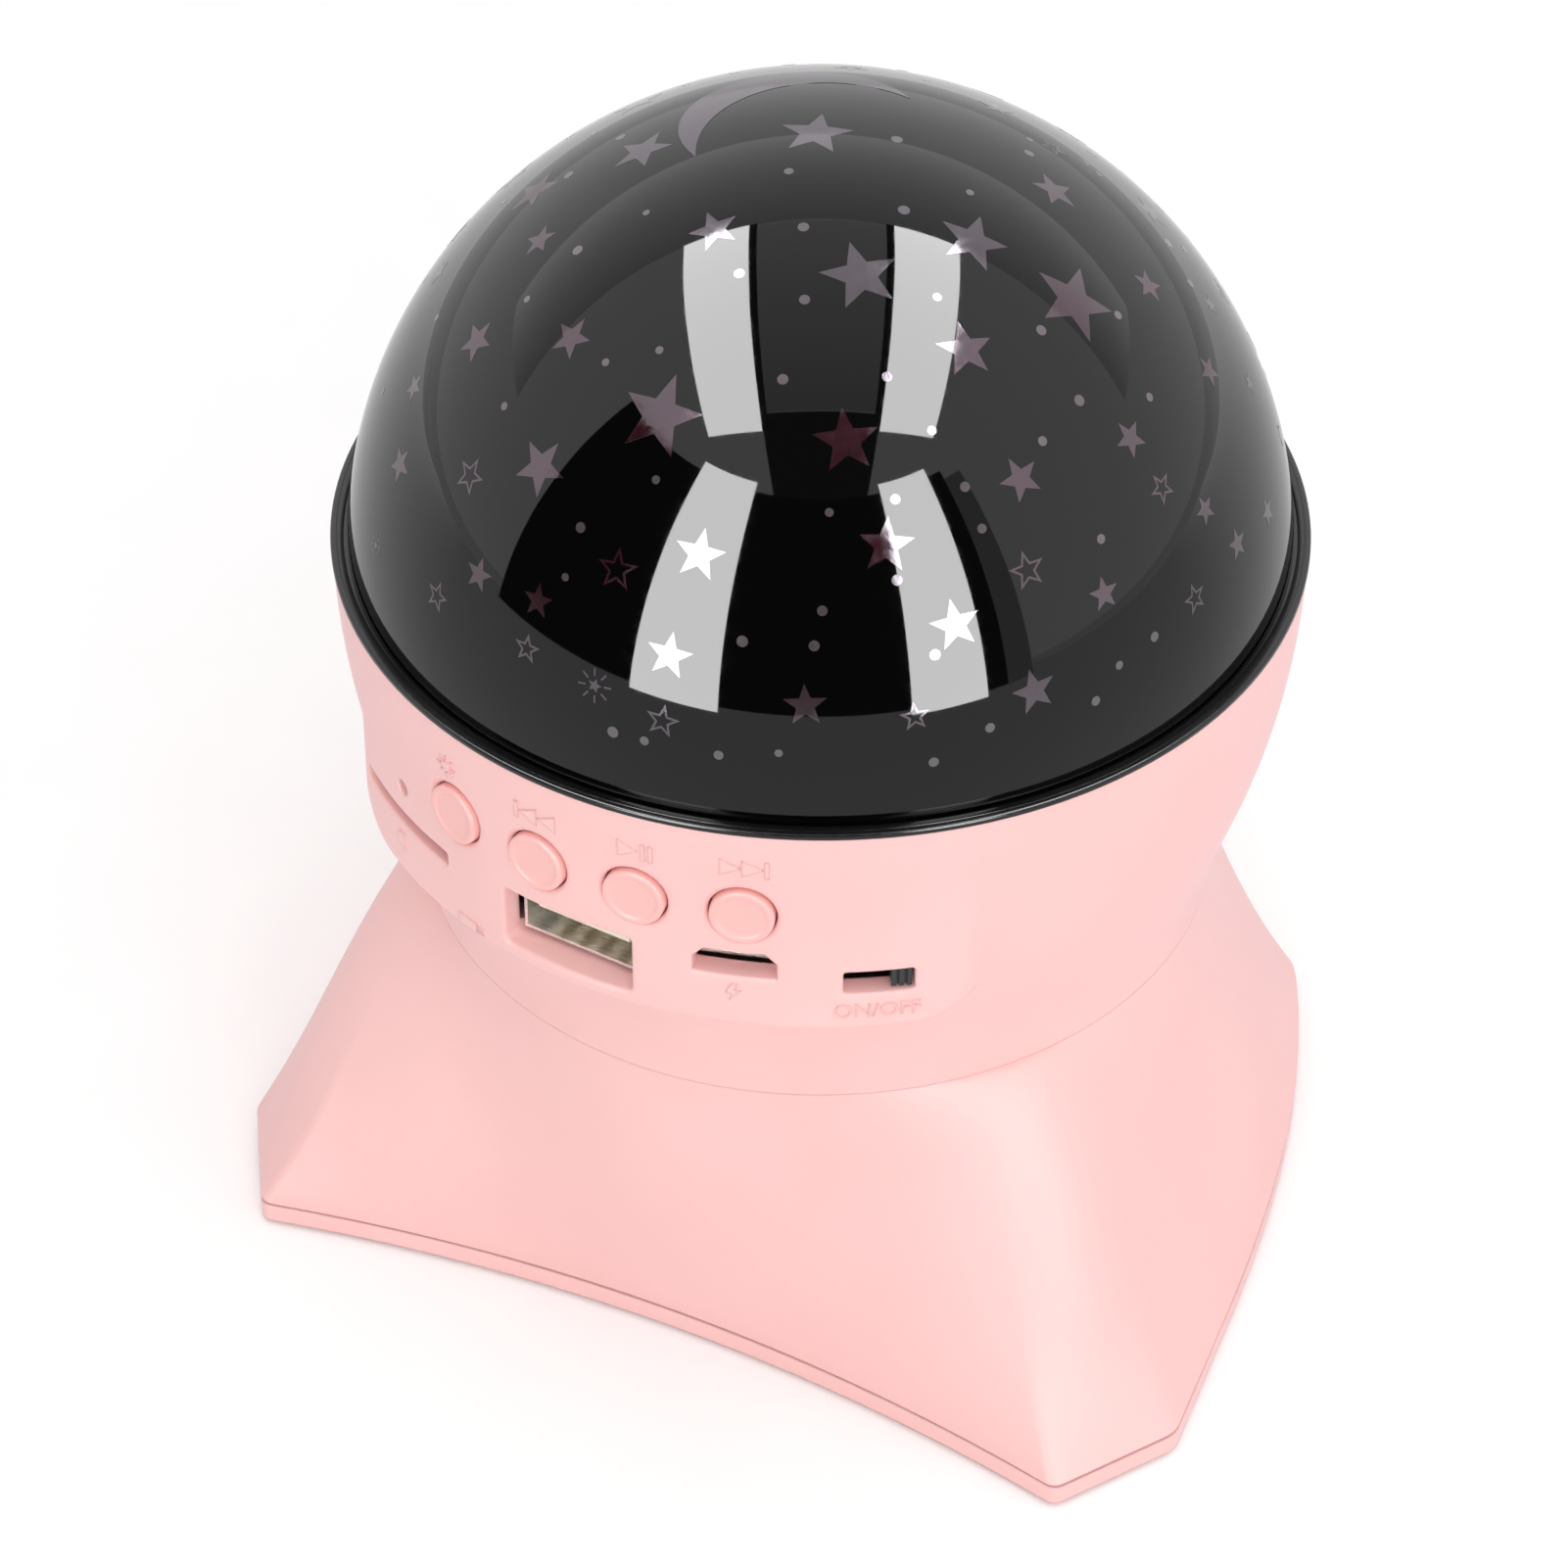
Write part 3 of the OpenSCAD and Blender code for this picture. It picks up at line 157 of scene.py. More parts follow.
# %% Wrap a material
class Finish:
    """One material, with its shader and the pattern that is fixed to the object."""

    def __init__(self, name, **constants):
        self.material = bpy.data.materials.new(name)
        self.material.use_nodes = True
        self.tree = self.material.node_tree
        self.shader = self.tree.nodes["Principled BSDF"]
        self.place = self.node("ShaderNodeTexCoord", {}, {}, "Object")
        for socket, value in constants.items():
            self.set(socket.replace("_", " "), value)

    def node(self, kind, settings, inputs, output=0):
        """Adds a node, sets it up, feeds its inputs and gives one of its outputs."""
        made = self.tree.nodes.new(kind)
        for key, value in settings.items():
            setattr(made, key, value)
        for key, value in inputs.items():
            self.feed(made.inputs[key], value)
        return Tone(self, made.outputs[output])

    def feed(self, socket, value):
        """Links a varying value to a socket, or sets the socket to a fixed one."""
        if isinstance(value, Tone):
            self.tree.links.new(value.socket, socket)
        else:
            socket.default_value = value

    def set(self, socket, value):
        self.feed(self.shader.inputs[socket], value)

    def noise(self, scale, detail=2, roughness=0.5, place=None):
        """Cloudy noise, with scale bumps to the metre."""
        return self.node("ShaderNodeTexNoise", {},
                         {"Vector": place or self.place, "Scale": scale, "Detail": detail,
                          "Roughness": roughness})

    def stretched(self, x, y, z):
        """The place on the object, with each axis scaled: a grain that runs one way."""
        return self.node("ShaderNodeMapping", {}, {"Vector": self.place, "Scale": (x, y, z)})

    def blend(self, share, first, second):
        """A colour between two colours."""
        return self.node("ShaderNodeMix", {"data_type": "RGBA"}, {0: share, 6: first, 7: second}, 2)

    def spread(self, value, low_end, high_end, from_low=0.3, from_high=0.7):
        """A value moved from the noise's usual range to the range wanted."""
        return self.node("ShaderNodeMapRange", {},
                         {"Value": value, "From Min": from_low, "From Max": from_high,
                          "To Min": low_end, "To Max": high_end})

    def wander(self, share, dark, light):
        """Lets the base colour wander between two close colours."""
        self.set("Base Color", self.blend(self.spread(share, 0, 1), tint(*dark), tint(*light)))

    def relief(self, height, depth, strength, under=None):
        """Sets a bump of the given depth in millimetres, on top of another normal if one is given."""
        inputs = {"Height": height, "Distance": depth * MM, "Strength": strength}
        if under:
            inputs["Normal"] = under
        self.set("Normal", self.node("ShaderNodeBump", {}, inputs))

    def soft_edges(self, radius):
        """A normal that rounds the CAD's sharp edges a little, as every moulded edge is."""
        return self.node("ShaderNodeBevel", {"samples": 4}, {"Radius": radius * MM})


def tint(red, green, blue):
    """A colour with full opacity from its linear red, green and blue."""
    return (red, green, blue, 1)


# %% [markdown]
# ## Studio
#
# The glossy dome is a mirror of the room, so the room is part of the likeness. Two tall soft
# lights stand left and right of the camera and two long ones hang overhead; they show as four
# pale bars. Between them a dark screen hides the camera, and a grey ceiling and a grey table
# give the rest of the dome its tones. All these are cards that only mirror-like rays see. Plain
# area lamps and a white room do the lighting, so the pink keeps its colour. The grey flag is
# the one card that works the other way round: reflections miss it, and it keeps some of the
# room's light off the object's left side.
#
# The room's brightness depends on what looks at it. The camera sees plain white, reflections
# see ROOM_GLOSS and everything that is lit by it gets ROOM_FILL.

# %% Room and floor
ROOM_GLOSS = 1.05
ROOM_FILL = 0.78
FLOOR_SIZE = 12

world = bpy.data.worlds.new("white_room")
world.use_nodes = True
bpy.context.scene.world = world
room = world.node_tree
rays = room.nodes.new("ShaderNodeLightPath")
background = room.nodes["Background"]
background.inputs["Color"].default_value = tint(1, 1, 1)


def room_math(operation, first, second):
    """Combines two values of the room's own nodes."""
    made = room.nodes.new("ShaderNodeMath")
    made.operation = operation
    for socket, value in zip(made.inputs, (first, second)):
        if isinstance(value, (int, float)):
            socket.default_value = value
        else:
            room.links.new(value, socket)
    return made.outputs[0]


mirror_rays = room_math("MAXIMUM", rays.outputs["Is Glossy Ray"], rays.outputs["Is Transmission Ray"])
mirror_share = room_math("MULTIPLY", mirror_rays, ROOM_GLOSS - ROOM_FILL)
camera_share = room_math("MULTIPLY", rays.outputs["Is Camera Ray"], 1 - ROOM_FILL)
strength = room_math("ADD", room_math("ADD", mirror_share, camera_share), ROOM_FILL)
room.links.new(strength, background.inputs["Strength"])

bpy.ops.mesh.primitive_plane_add(size=FLOOR_SIZE)
floor = bpy.context.object
floor.name = "floor"
paper = Finish("white_paper", Roughness=0.9, Specular_IOR_Level=0.1, Emission_Color=tint(1, 1, 1),
               Emission_Strength=0.05)
paper.wander(paper.noise(60, 3), (0.955, 0.955, 0.955), (0.97, 0.97, 0.97))
floor.data.materials.append(paper.material)
print("room gloss", ROOM_GLOSS, "fill", ROOM_FILL)


# %% Make a card
CARD_CUTS = 24


def card(name, corners, radiance, far_radiance=None, seen_by="glossy"):
    """A four-cornered glowing card that one kind of ray sees; it may fade upwards."""
    bpy.ops.object.select_all(action="DESELECT")
    bpy.ops.mesh.primitive_grid_add(x_subdivisions=CARD_CUTS, y_subdivisions=CARD_CUTS, size=2)
    made = bpy.context.object
    made.name = name
    for vertex in made.data.vertices:
        vertex.co = corners((vertex.co.x + 1) / 2, (vertex.co.y + 1) / 2)
    glow = bpy.data.materials.new(name)
    glow.use_nodes = True
    nodes, links = glow.node_tree.nodes, glow.node_tree.links
    nodes.remove(nodes["Principled BSDF"])
    light = nodes.new("ShaderNodeEmission")
    light.inputs["Strength"].default_value = radiance
    if far_radiance is not None:
        coordinates = nodes.new("ShaderNodeTexCoord")
        parts = nodes.new("ShaderNodeSeparateXYZ")
        fade = nodes.new("ShaderNodeMapRange")
        fade.inputs["To Min"].default_value = 1
        fade.inputs["To Max"].default_value = far_radiance / radiance
        links.new(coordinates.outputs["UV"], parts.inputs[0])
        links.new(parts.outputs["Y"], fade.inputs["Value"])
        links.new(fade.outputs[0], light.inputs["Color"])
    links.new(light.outputs[0], nodes["Material Output"].inputs[0])
    made.data.materials.append(glow)
    for ray in ("camera", "diffuse", "glossy", "transmission", "volume_scatter", "shadow"):
        setattr(made, "visible_" + ray, ray == seen_by)


def direction(turn, rise):
    """A direction, turned round from the camera's side and raised, both in degrees."""
    turn, rise = math.radians(turn), math.radians(rise)
    ahead = math.sin(turn) * viewer_right + math.cos(turn) * toward_viewer
    return math.cos(rise) * ahead + Vector((0, 0, math.sin(rise)))


def upright(left, right, bottom, top, distance):
    """Corners of an upright card, from its angles round the dome as seen from the camera."""
    def corner(across, up):
        turn = left + (right - left) * across
        rise = bottom + (top - bottom) * up
        return dome_centre + distance * direction(turn, rise)
    return corner


def level(left, right, near, far, height):
    """Corners of a level card over or under the dome, near and far along the view."""
    def corner(across, up):
        side = left + (right - left) * across
        depth = near + (far - near) * up
        return dome_centre + side * viewer_right + depth * toward_viewer + Vector((0, 0, height))
    return corner


# %% Put up the cards
STRIP_GLOW = 13.5
OVERHEAD = 1.2
STRIP_NEAR = 0.26 * OVERHEAD
STRIP_FAR = 0.53 * OVERHEAD
STRIP_FRONT = 0.5 * OVERHEAD
STRIP_BACK = -0.55 * OVERHEAD
POST = 0.03 * OVERHEAD
BEAM_FRONT = 0.95 * OVERHEAD
BEAM_BACK = 0.42 * OVERHEAD
BEAM_HEIGHT = 1.02 * OVERHEAD
CEILING_HEIGHT = 1.03 * OVERHEAD
PALE_FRONT = -0.56 * OVERHEAD
PALE_BACK = -1.8 * OVERHEAD
PALE_SIDE = 3
TABLE_SIDE = 2
TABLE_BACK = -0.6
TABLE_HEIGHT = (1 - DOME_Z) * MM

dome_centre = Vector((0, 0, DOME_Z * MM))
card("tall_light_left", upright(-42, -22, -5, 49, 1.0), STRIP_GLOW)
card("tall_light_right", upright(20, 37, -5, 49, 1.0), STRIP_GLOW)
for side, name in ((-1, "left"), (1, "right")):
    card("long_light_" + name,
         level(side * STRIP_NEAR, side * STRIP_FAR, STRIP_FRONT, STRIP_BACK, OVERHEAD), STRIP_GLOW)
    card("light_frame_" + name,
         level(side * (STRIP_NEAR - POST), side * STRIP_NEAR, STRIP_FRONT, STRIP_BACK, OVERHEAD), 0.03)
card("dark_screen", upright(-78, 42, -6, 47, 1.3), 0.02)
card("dark_screen_edge", upright(42, 48, -6, 45, 1.3), 0.4)
card("dark_beam", level(-STRIP_NEAR, STRIP_NEAR, BEAM_FRONT, BEAM_BACK, BEAM_HEIGHT), 0.05)
card("grey_ceiling", level(-STRIP_NEAR, STRIP_NEAR, BEAM_BACK, STRIP_BACK, CEILING_HEIGHT), 0.5, 0.9)
card("pale_ceiling", level(-PALE_SIDE, PALE_SIDE, PALE_FRONT, PALE_BACK, CEILING_HEIGHT), 0.7, 1.6)
card("grey_table", level(-TABLE_SIDE, TABLE_SIDE, TABLE_SIDE, 0, TABLE_HEIGHT), 0.7)
card("grey_table_behind", level(-TABLE_SIDE, TABLE_SIDE, 0, TABLE_BACK, TABLE_HEIGHT), 0.7, 1.3)
card("grey_flag", upright(-130, -60, -10, 60, 1.5), 0.58, seen_by="diffuse")
print("cards are up")


# %% Lamps
def soft_lamp(name, turn, rise, distance, width, watts):
    """A square soft lamp aimed at the object, unseen in reflections."""
    place = ring_centre + distance * direction(turn, rise)
    bpy.ops.object.light_add(type="AREA", location=place)
    lamp = bpy.context.object
    lamp.name = name
    lamp.data.size = width
    lamp.data.energy = watts
    lamp.rotation_euler = (ring_centre - place).to_track_quat("-Z", "Y").to_euler()
    lamp.visible_glossy = False


soft_lamp("key_lamp", turn=12, rise=40, distance=1.3, width=0.8, watts=3.1)
soft_lamp("side_lamp", turn=68, rise=30, distance=1.3, width=0.7, watts=1.0)
soft_lamp("low_lamp", turn=2, rise=10, distance=1.3, width=0.9, watts=1.5)
soft_lamp("top_lamp", turn=0, rise=88, distance=1.4, width=1.2, watts=4.2)
print("lamps are up")

# %% [markdown]
# ## Soft pink plastic
#
# The shell is moulded plastic with a very fine matt grain. It has a broad soft shine and goes
# slightly cool at grazing angles. The grain is a small bump, and the roughness wanders a little,
# because no moulded wall cools evenly.

# %% Soft pink plastic
pink = Finish("soft_pink_plastic", Roughness=0.5, IOR=1.42, Sheen_Weight=0.18, Sheen_Roughness=0.4,
              Sheen_Tint=tint(0.86, 0.84, 1.0))
cloudy = pink.noise(45, 3)
pink.wander(cloudy, (0.905, 0.535, 0.515), (0.925, 0.56, 0.54))
grain = pink.noise(2600, 2, 0.6)
pink.set("Roughness", pink.spread(grain, 0.47, 0.59) + pink.spread(cloudy, -0.03, 0.03))
pink.relief(grain, 0.02, 0.35, pink.soft_edges(0.35))
print("pink is mixed")

# %% [markdown]
# ## Black dome and ring
#
# The dome is black and polished, and it mirrors the room at about four parts in a hundred, as
# plastic does. Very small waves from the mould keep its bars of light from being ruler straight,
# and its roughness wanders a little. The ring is less polished and has a fine grain.

# %% Glossy black
dome_black = Finish("glossy_black_print", Base_Color=tint(0.0012, 0.0012, 0.0013), IOR=1.5)
swirl = dome_black.noise(70, 2)
dome_black.set("Roughness", dome_black.spread(dome_black.noise(900, 3), 0.015, 0.04))
dome_black.relief(swirl, 0.04, 0.25)

ring_black = Finish("ring_black_plastic", Base_Color=tint(0.008, 0.008, 0.009), IOR=1.5)
ring_black.set("Roughness", ring_black.spread(ring_black.noise(1400, 3), 0.12, 0.22))
ring_black.relief(ring_black.noise(1800, 2), 0.01, 0.3)

print("black is polished")

# %% [markdown]
# ## Clear film of the stars
#
# Where the print has a star, the clear plastic shows the dark inside of the lamp. Here that is
# a thin film with a dark red tone. Near the foot and near the top its colour is painted greyer:
# a painted reflection of the pale room that the dome mirrors there. A light crinkle breaks up what it
# mirrors.

# %% Clear film
# heights over the dome's centre where the films' painted reflection fades in, at the foot and at the top
FOOT_REFLECTION_BAND = (12, 22)
TOP_REFLECTION_BAND = (40, 46)


def film(name, dark, light, ends):
    """Clear film in the print: it shows the dark inside, with a painted reflection that turns its colour
    grey near the foot and the top.
    """
    made = Finish(name, IOR=2.1, Specular_Tint=tint(0.96, 0.87, 1.0))
    height = made.node("ShaderNodeSeparateXYZ", {}, {"Vector": made.place}, 2)
    # painted reflection: the base colour turns to the grey of ends in the foot band and in the top band
    side = made.spread(height, 0, 1, *[(DOME_Z + z) * MM for z in FOOT_REFLECTION_BAND])
    top = made.spread(height, 1, 0, *[(DOME_Z + z) * MM for z in TOP_REFLECTION_BAND])
    cloud = made.blend(made.spread(made.noise(240, 3), 0, 1), tint(*dark), tint(*light))
    made.set("Base Color", made.blend(side * top, tint(*ends), cloud))
    crinkle = made.noise(700, 3, 0.6)
    made.set("Roughness", made.spread(crinkle, 0.05, 0.13))
    made.relief(crinkle, 0.03, 0.25)
    return made


# the last colour of each film is its painted reflection, the grey it is given near the foot and the top
star_film = film("clear_star_film", (0.020, 0.003, 0.005), (0.034, 0.005, 0.009), (0.045, 0.038, 0.042))
dot_film = film("clear_dot_film", (0.06, 0.045, 0.05), (0.085, 0.068, 0.073), (0.08, 0.076, 0.078))
print("the films are mixed")

# %% [markdown]
# ## Plastics, metals and the rest inside
#
# Every other slot of the record gets its own finish too. Three small recipes cover them:
# moulded plastic with a grain, metal with fine scratches along one way, and soft matter such as
# rubber, paper and foam, whose relief is coarser.

# %% Three recipes
def plastic(name, dark, light, roughness):
    """Moulded plastic: two close colours, a wandering roughness and a fine grain."""
    made = Finish(name, IOR=1.48)
    made.wander(made.noise(90, 3), dark, light)
    grain = made.noise(1800, 2)
    made.set("Roughness", made.spread(grain, roughness - 0.06, roughness + 0.06))
    made.relief(grain, 0.015, 0.4, made.soft_edges(0.15))
    return made


def plated(name, dark, light, roughness):
    """Bright metal with fine scratches along one way and a few dull spots."""
    made = Finish(name, Metallic=1.0)
    lines = made.noise(1, 3, 0.6, made.stretched(200, 6000, 6000))
    made.wander(made.noise(260, 3), dark, light)
    made.set("Roughness", made.spread(lines, roughness - 0.08, roughness + 0.1))
    made.relief(lines, 0.008, 0.4, made.soft_edges(0.08))
    return made


def soft(name, dark, light, roughness, lump_scale, depth):
    """Rubber, foam, paper and the like: matt, with a coarse relief."""
    made = Finish(name, Specular_IOR_Level=0.3)
    lumps = made.node("ShaderNodeTexVoronoi", {}, {"Vector": made.place, "Scale": lump_scale})
    mixed = made.noise(lump_scale * 0.7, 4, 0.6)
    made.wander(mixed, dark, light)
    made.set("Roughness", made.spread(mixed, roughness - 0.08, roughness + 0.08))
    made.relief(lumps + mixed, depth, 0.6)
    return made


# %% A finish for every slot
finishes = {
    "pink_shell": pink,
    "black_dome": dome_black,
    "black_bezel": ring_black,
    "rubber_foot": soft("grey_rubber", (0.10, 0.10, 0.11), (0.16, 0.16, 0.17), 0.8, 1500, 0.04),
    "screw_steel": plated("screw_steel", (0.45, 0.45, 0.47), (0.62, 0.62, 0.64), 0.34),
    "white_plastic": plastic("white_plastic", (0.80, 0.80, 0.79), (0.86, 0.86, 0.85), 0.42),
    "white_board": plastic("white_solder_mask", (0.82, 0.83, 0.82), (0.90, 0.90, 0.89), 0.3),
    "led_phosphor": plastic("yellow_phosphor", (0.80, 0.66, 0.20), (0.92, 0.80, 0.36), 0.5),
    "indicator_lens": plastic("milky_lens", (0.72, 0.74, 0.76), (0.84, 0.86, 0.88), 0.15),
    "green_board": plastic("green_solder_mask", (0.010, 0.12, 0.045), (0.02, 0.17, 0.06), 0.25),
    "black_plastic": plastic("black_plastic", (0.012, 0.012, 0.013), (0.022, 0.022, 0.024), 0.42),
    "knob_plastic": plastic("dark_grey_knob", (0.022, 0.022, 0.024), (0.036, 0.036, 0.038), 0.4),
    "plated_steel": plated("nickel_plate", (0.72, 0.71, 0.69), (0.86, 0.85, 0.83), 0.3),
    "cream_plastic": plastic("cream_plastic", (0.92, 0.86, 0.70), (0.95, 0.90, 0.76), 0.38),
    "gold_contact": plated("gold_contact", (0.76, 0.55, 0.22), (0.90, 0.70, 0.32), 0.22),
    "capacitor_can": plated("capacitor_can", (0.40, 0.42, 0.46), (0.56, 0.58, 0.62), 0.3),
    "battery_sleeve": plastic("blue_battery_sleeve", (0.03, 0.10, 0.35), (0.05, 0.14, 0.42), 0.28),
    "ferrite": soft("grey_ferrite", (0.05, 0.05, 0.055), (0.10, 0.10, 0.105), 0.6, 2200, 0.03),
    "paper_cone": soft("pressed_paper", (0.02, 0.02, 0.021), (0.045, 0.045, 0.046), 0.85, 900, 0.05),
    "foam": soft("black_foam", (0.015, 0.015, 0.016), (0.04, 0.04, 0.042), 0.9, 1300, 0.12),
    "red_wire": plastic("red_wire", (0.42, 0.015, 0.012), (0.52, 0.025, 0.02), 0.35),
    "black_wire": plastic("black_wire", (0.012, 0.012, 0.012), (0.02, 0.02, 0.02), 0.35),
    "yellow_wire": plastic("yellow_wire", (0.55, 0.42, 0.03), (0.65, 0.50, 0.05), 0.35),
}
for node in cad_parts.values():
    for holder in node.material_slots:
        slot_name = holder.material.name.split(".")[0]
        holder.material = finishes[slot_name].material
print(len(finishes), "finishes are on the CAD nodes")


# %% [markdown]
# ## Hands for modelling
#
# Everything new starts as a primitive and is shaped in edit mode. These helpers do what hands
# do first: put down what was held, pick up one shape, and let it go again.

# %% Picking up and putting down
def put_down():
    """Leaves edit mode and deselects everything."""
    if bpy.context.mode != "OBJECT":
        bpy.ops.object.mode_set(mode="OBJECT")
    bpy.ops.object.select_all(action="DESELECT")


def pick_up(piece):
    """Selects one piece alone and makes it the active one."""
    put_down()
    piece.select_set(True)
    bpy.context.view_layer.objects.active = piece


def edit(piece, select="SELECT"):
    """Enters edit mode with everything selected, or nothing."""
    pick_up(piece)
    bpy.ops.object.mode_set(mode="EDIT")
    bpy.ops.mesh.select_all(action=select)


def apply(piece, kind, **settings):
    """Adds a modifier, sets it and applies it."""
    pick_up(piece)
    modifier = piece.modifiers.new(kind.lower(), kind)
    for key, value in settings.items():
        setattr(modifier, key, value)
    bpy.ops.object.modifier_apply(modifier=modifier.name)


def point_outwards(piece):
    """Makes all faces of a piece point outwards."""
    edit(piece)
    bpy.ops.mesh.normals_make_consistent(inside=False)
    put_down()


def join(pieces, name):
    """Makes one piece of several."""
    put_down()
    for piece in pieces:
        piece.select_set(True)
    bpy.context.view_layer.objects.active = pieces[0]
    if len(pieces) > 1:
        bpy.ops.object.join()
    made = bpy.context.object
    made.name = name
    put_down()
    return made


def dress(piece, body, slot, finish=None, smooth=35):
    """Gives a finished piece its body, its finish (the one given, or else the one of its slot) and its
    smooth shading.
    """
    pick_up(piece)
    bpy.ops.object.shade_smooth_by_angle(angle=math.radians(smooth))
    put_down()
    piece.data.materials.clear()
    piece.data.materials.append((finish or finishes[slot]).material)
    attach(piece, body)
    print(piece.name, "has", len(piece.data.polygons), "faces")


# %% [markdown]
# ## Turned pieces
#
# The dome and the ring are round about one axis. Such a piece is drawn as half of its section
# and spun. The section starts as a circle of as many points as it needs, which are then set to
# their places; an open section, which touches the axis, loses the edge along the axis first.

# %% Spin a section
def turned(name, section, steps, closed):
    """A solid of revolution from points (radius, height) in millimetres."""
    put_down()
    bpy.ops.mesh.primitive_circle_add(vertices=len(section), radius=MM, fill_type="NOTHING")
    piece = bpy.context.object
    piece.name = name
    for vertex, (radius, height) in zip(piece.data.vertices, section):
        vertex.co = (radius * MM, 0, height * MM)
    edit(piece, "DESELECT")
    if not closed:
        mesh = bmesh.from_edit_mesh(piece.data)
        mesh.verts.ensure_lookup_table()
        axis_edge = mesh.edges.get((mesh.verts[0], mesh.verts[len(section) - 1]))
        bpy.ops.mesh.select_mode(type="EDGE")
        axis_edge.select = True
        bmesh.update_edit_mesh(piece.data)
        bpy.ops.mesh.delete(type="EDGE")
        bpy.ops.mesh.select_mode(type="VERT")
    bpy.ops.mesh.select_all(action="SELECT")
    bpy.ops.mesh.spin(steps=steps, angle=2 * math.pi, center=(0, 0, 0), axis=(0, 0, 1))
    bpy.ops.mesh.select_all(action="SELECT")
    bpy.ops.mesh.remove_doubles(threshold=MERGE)
    point_outwards(piece)
    return piece


def arc(centre_r, centre_z, radius, start, end, steps):
    """Points on an arc in the section plane, angles in degrees from straight outwards."""
    turns = [math.radians(start + (end - start) * k / steps) for k in range(steps + 1)]
    return [(centre_r + radius * math.cos(turn), centre_z + radius * math.sin(turn)) for turn in turns]


# %% Dome
FILM_LIFT = 0.015
DOME_SKIN_R = DOME_R - FILM_LIFT
DOME_WALL = 1.6
DOME_FOOT = RING_Z + 0.5
FLANGE = 1.2
SPIGOT_OUT = 45.5
SPIGOT_IN = SPIGOT_OUT - 1.2
SPIGOT_FOOT = low("dome_cover").z
SPIGOT_CHAMFER_OUT = 0.3
SPIGOT_CHAMFER_IN = 0.2
DOME_STEPS = 160

foot_angle = math.degrees(math.asin((DOME_FOOT - DOME_Z) / DOME_R))
inner_r = DOME_R - DOME_WALL
flange_angle = math.degrees(math.asin((DOME_FOOT + FLANGE - DOME_Z) / inner_r))
outer_skin = arc(0, DOME_Z, DOME_SKIN_R, 90, foot_angle, 96)
inner_skin = arc(0, DOME_Z, inner_r, flange_angle, 90, 64)
outer_skin[0] = (0, outer_skin[0][1])
inner_skin[-1] = (0, inner_skin[-1][1])
section = outer_skin + [
    (SPIGOT_OUT, DOME_FOOT),
    (SPIGOT_OUT, SPIGOT_FOOT + SPIGOT_CHAMFER_OUT),
    (SPIGOT_OUT - SPIGOT_CHAMFER_OUT, SPIGOT_FOOT),
    (SPIGOT_IN + SPIGOT_CHAMFER_IN, SPIGOT_FOOT),
    (SPIGOT_IN, SPIGOT_FOOT + SPIGOT_CHAMFER_IN),
    (SPIGOT_IN, DOME_FOOT + FLANGE),
] + inner_skin
dome = turned("dome_shell", section, DOME_STEPS, closed=False)
dress(dome, "dome", "black_dome")
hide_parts("dome_cover")

# %% Bezel ring
COLLAR_OUT = 47.3
COLLAR_IN = 45.8
RING_IN = DOME_R + 0.25
RING_FOOT = RING_Z - COLLAR_H
WEB_TOP = RING_Z + 0.4
RING_TOP = RING_Z + 0.7
RING_CHAMFER = 0.12
RIM_CHAMFER = 0.08
RING_ROUND = 0.25
GROOVE_R = RING_IN + 0.7
GROOVE_TOP = 0.06
GROOVE_FOOT = 0.03
GROOVE_Z = RING_TOP - 0.05
RING_STEPS = 200
section = [
    (RING_R, RING_Z + RING_CHAMFER),
    (RING_R - RING_CHAMFER, RING_Z),
    (COLLAR_OUT, RING_Z),
    (COLLAR_OUT, RING_FOOT),
    (COLLAR_IN, RING_FOOT),
    (COLLAR_IN, WEB_TOP),
    (RING_IN, WEB_TOP),
    (RING_IN, RING_TOP - RIM_CHAMFER),
    (RING_IN + RIM_CHAMFER, RING_TOP),
    (GROOVE_R - GROOVE_TOP, RING_TOP),
    (GROOVE_R - GROOVE_FOOT, GROOVE_Z),
    (GROOVE_R + GROOVE_FOOT, GROOVE_Z),
    (GROOVE_R + GROOVE_TOP, RING_TOP),
] + arc(RING_R - RING_ROUND, RING_TOP - RING_ROUND, RING_ROUND, 90, 0, 6)
ring = turned("black_ring", section, RING_STEPS, closed=True)
dress(ring, "lamp_base", "black_bezel", smooth=50)
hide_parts("bezel_ring")

# %% [markdown]
# ## Stars on the dome
#
# On the real dome the stars are clear windows in the black print: solid stars, outlined ones,
# small bursts, many dots and one thin crescent near the top. Each starts as a flat shape over
# the middle of a small patch of the dome. It is subdivided, so that it can bend, and then every
# point moves to its place on the sphere, a hair outside the black. On the far side the print
# goes on with stars at random places that keep clear of each other.

# %% Lay a flat shape on the dome
PRINT_TURN = -1.7
FILM_THICK = 0.02
STAR_POINTS = 5
STAR_WAIST = 0.42


def on_dome(azimuth, rise):
    """Direction from the dome's centre, angles in degrees from the middle of the print."""
    a, e = math.radians(azimuth + PRINT_TURN), math.radians(rise)
    return Vector((math.sin(a) * math.cos(e), -math.cos(a) * math.cos(e), math.sin(e)))


def lay_on_dome(piece, azimuth, rise, turn):
    """Moves a flat shape, drawn round the origin in millimetres, onto the sphere."""
    out = on_dome(azimuth, rise)
    side = Vector((-out.y, out.x, 0)).normalized()
    up = out.cross(side)
    c, s = math.cos(math.radians(turn)), math.sin(math.radians(turn))
    for vertex in piece.data.vertices:
        x = vertex.co.x * c - vertex.co.y * s
        y = vertex.co.x * s + vertex.co.y * c
        ray = (out * DOME_R + side * x + up * y).normalized()
        vertex.co = (Vector((0, 0, DOME_Z)) + ray * (DOME_SKIN_R + FILM_LIFT)) * MM


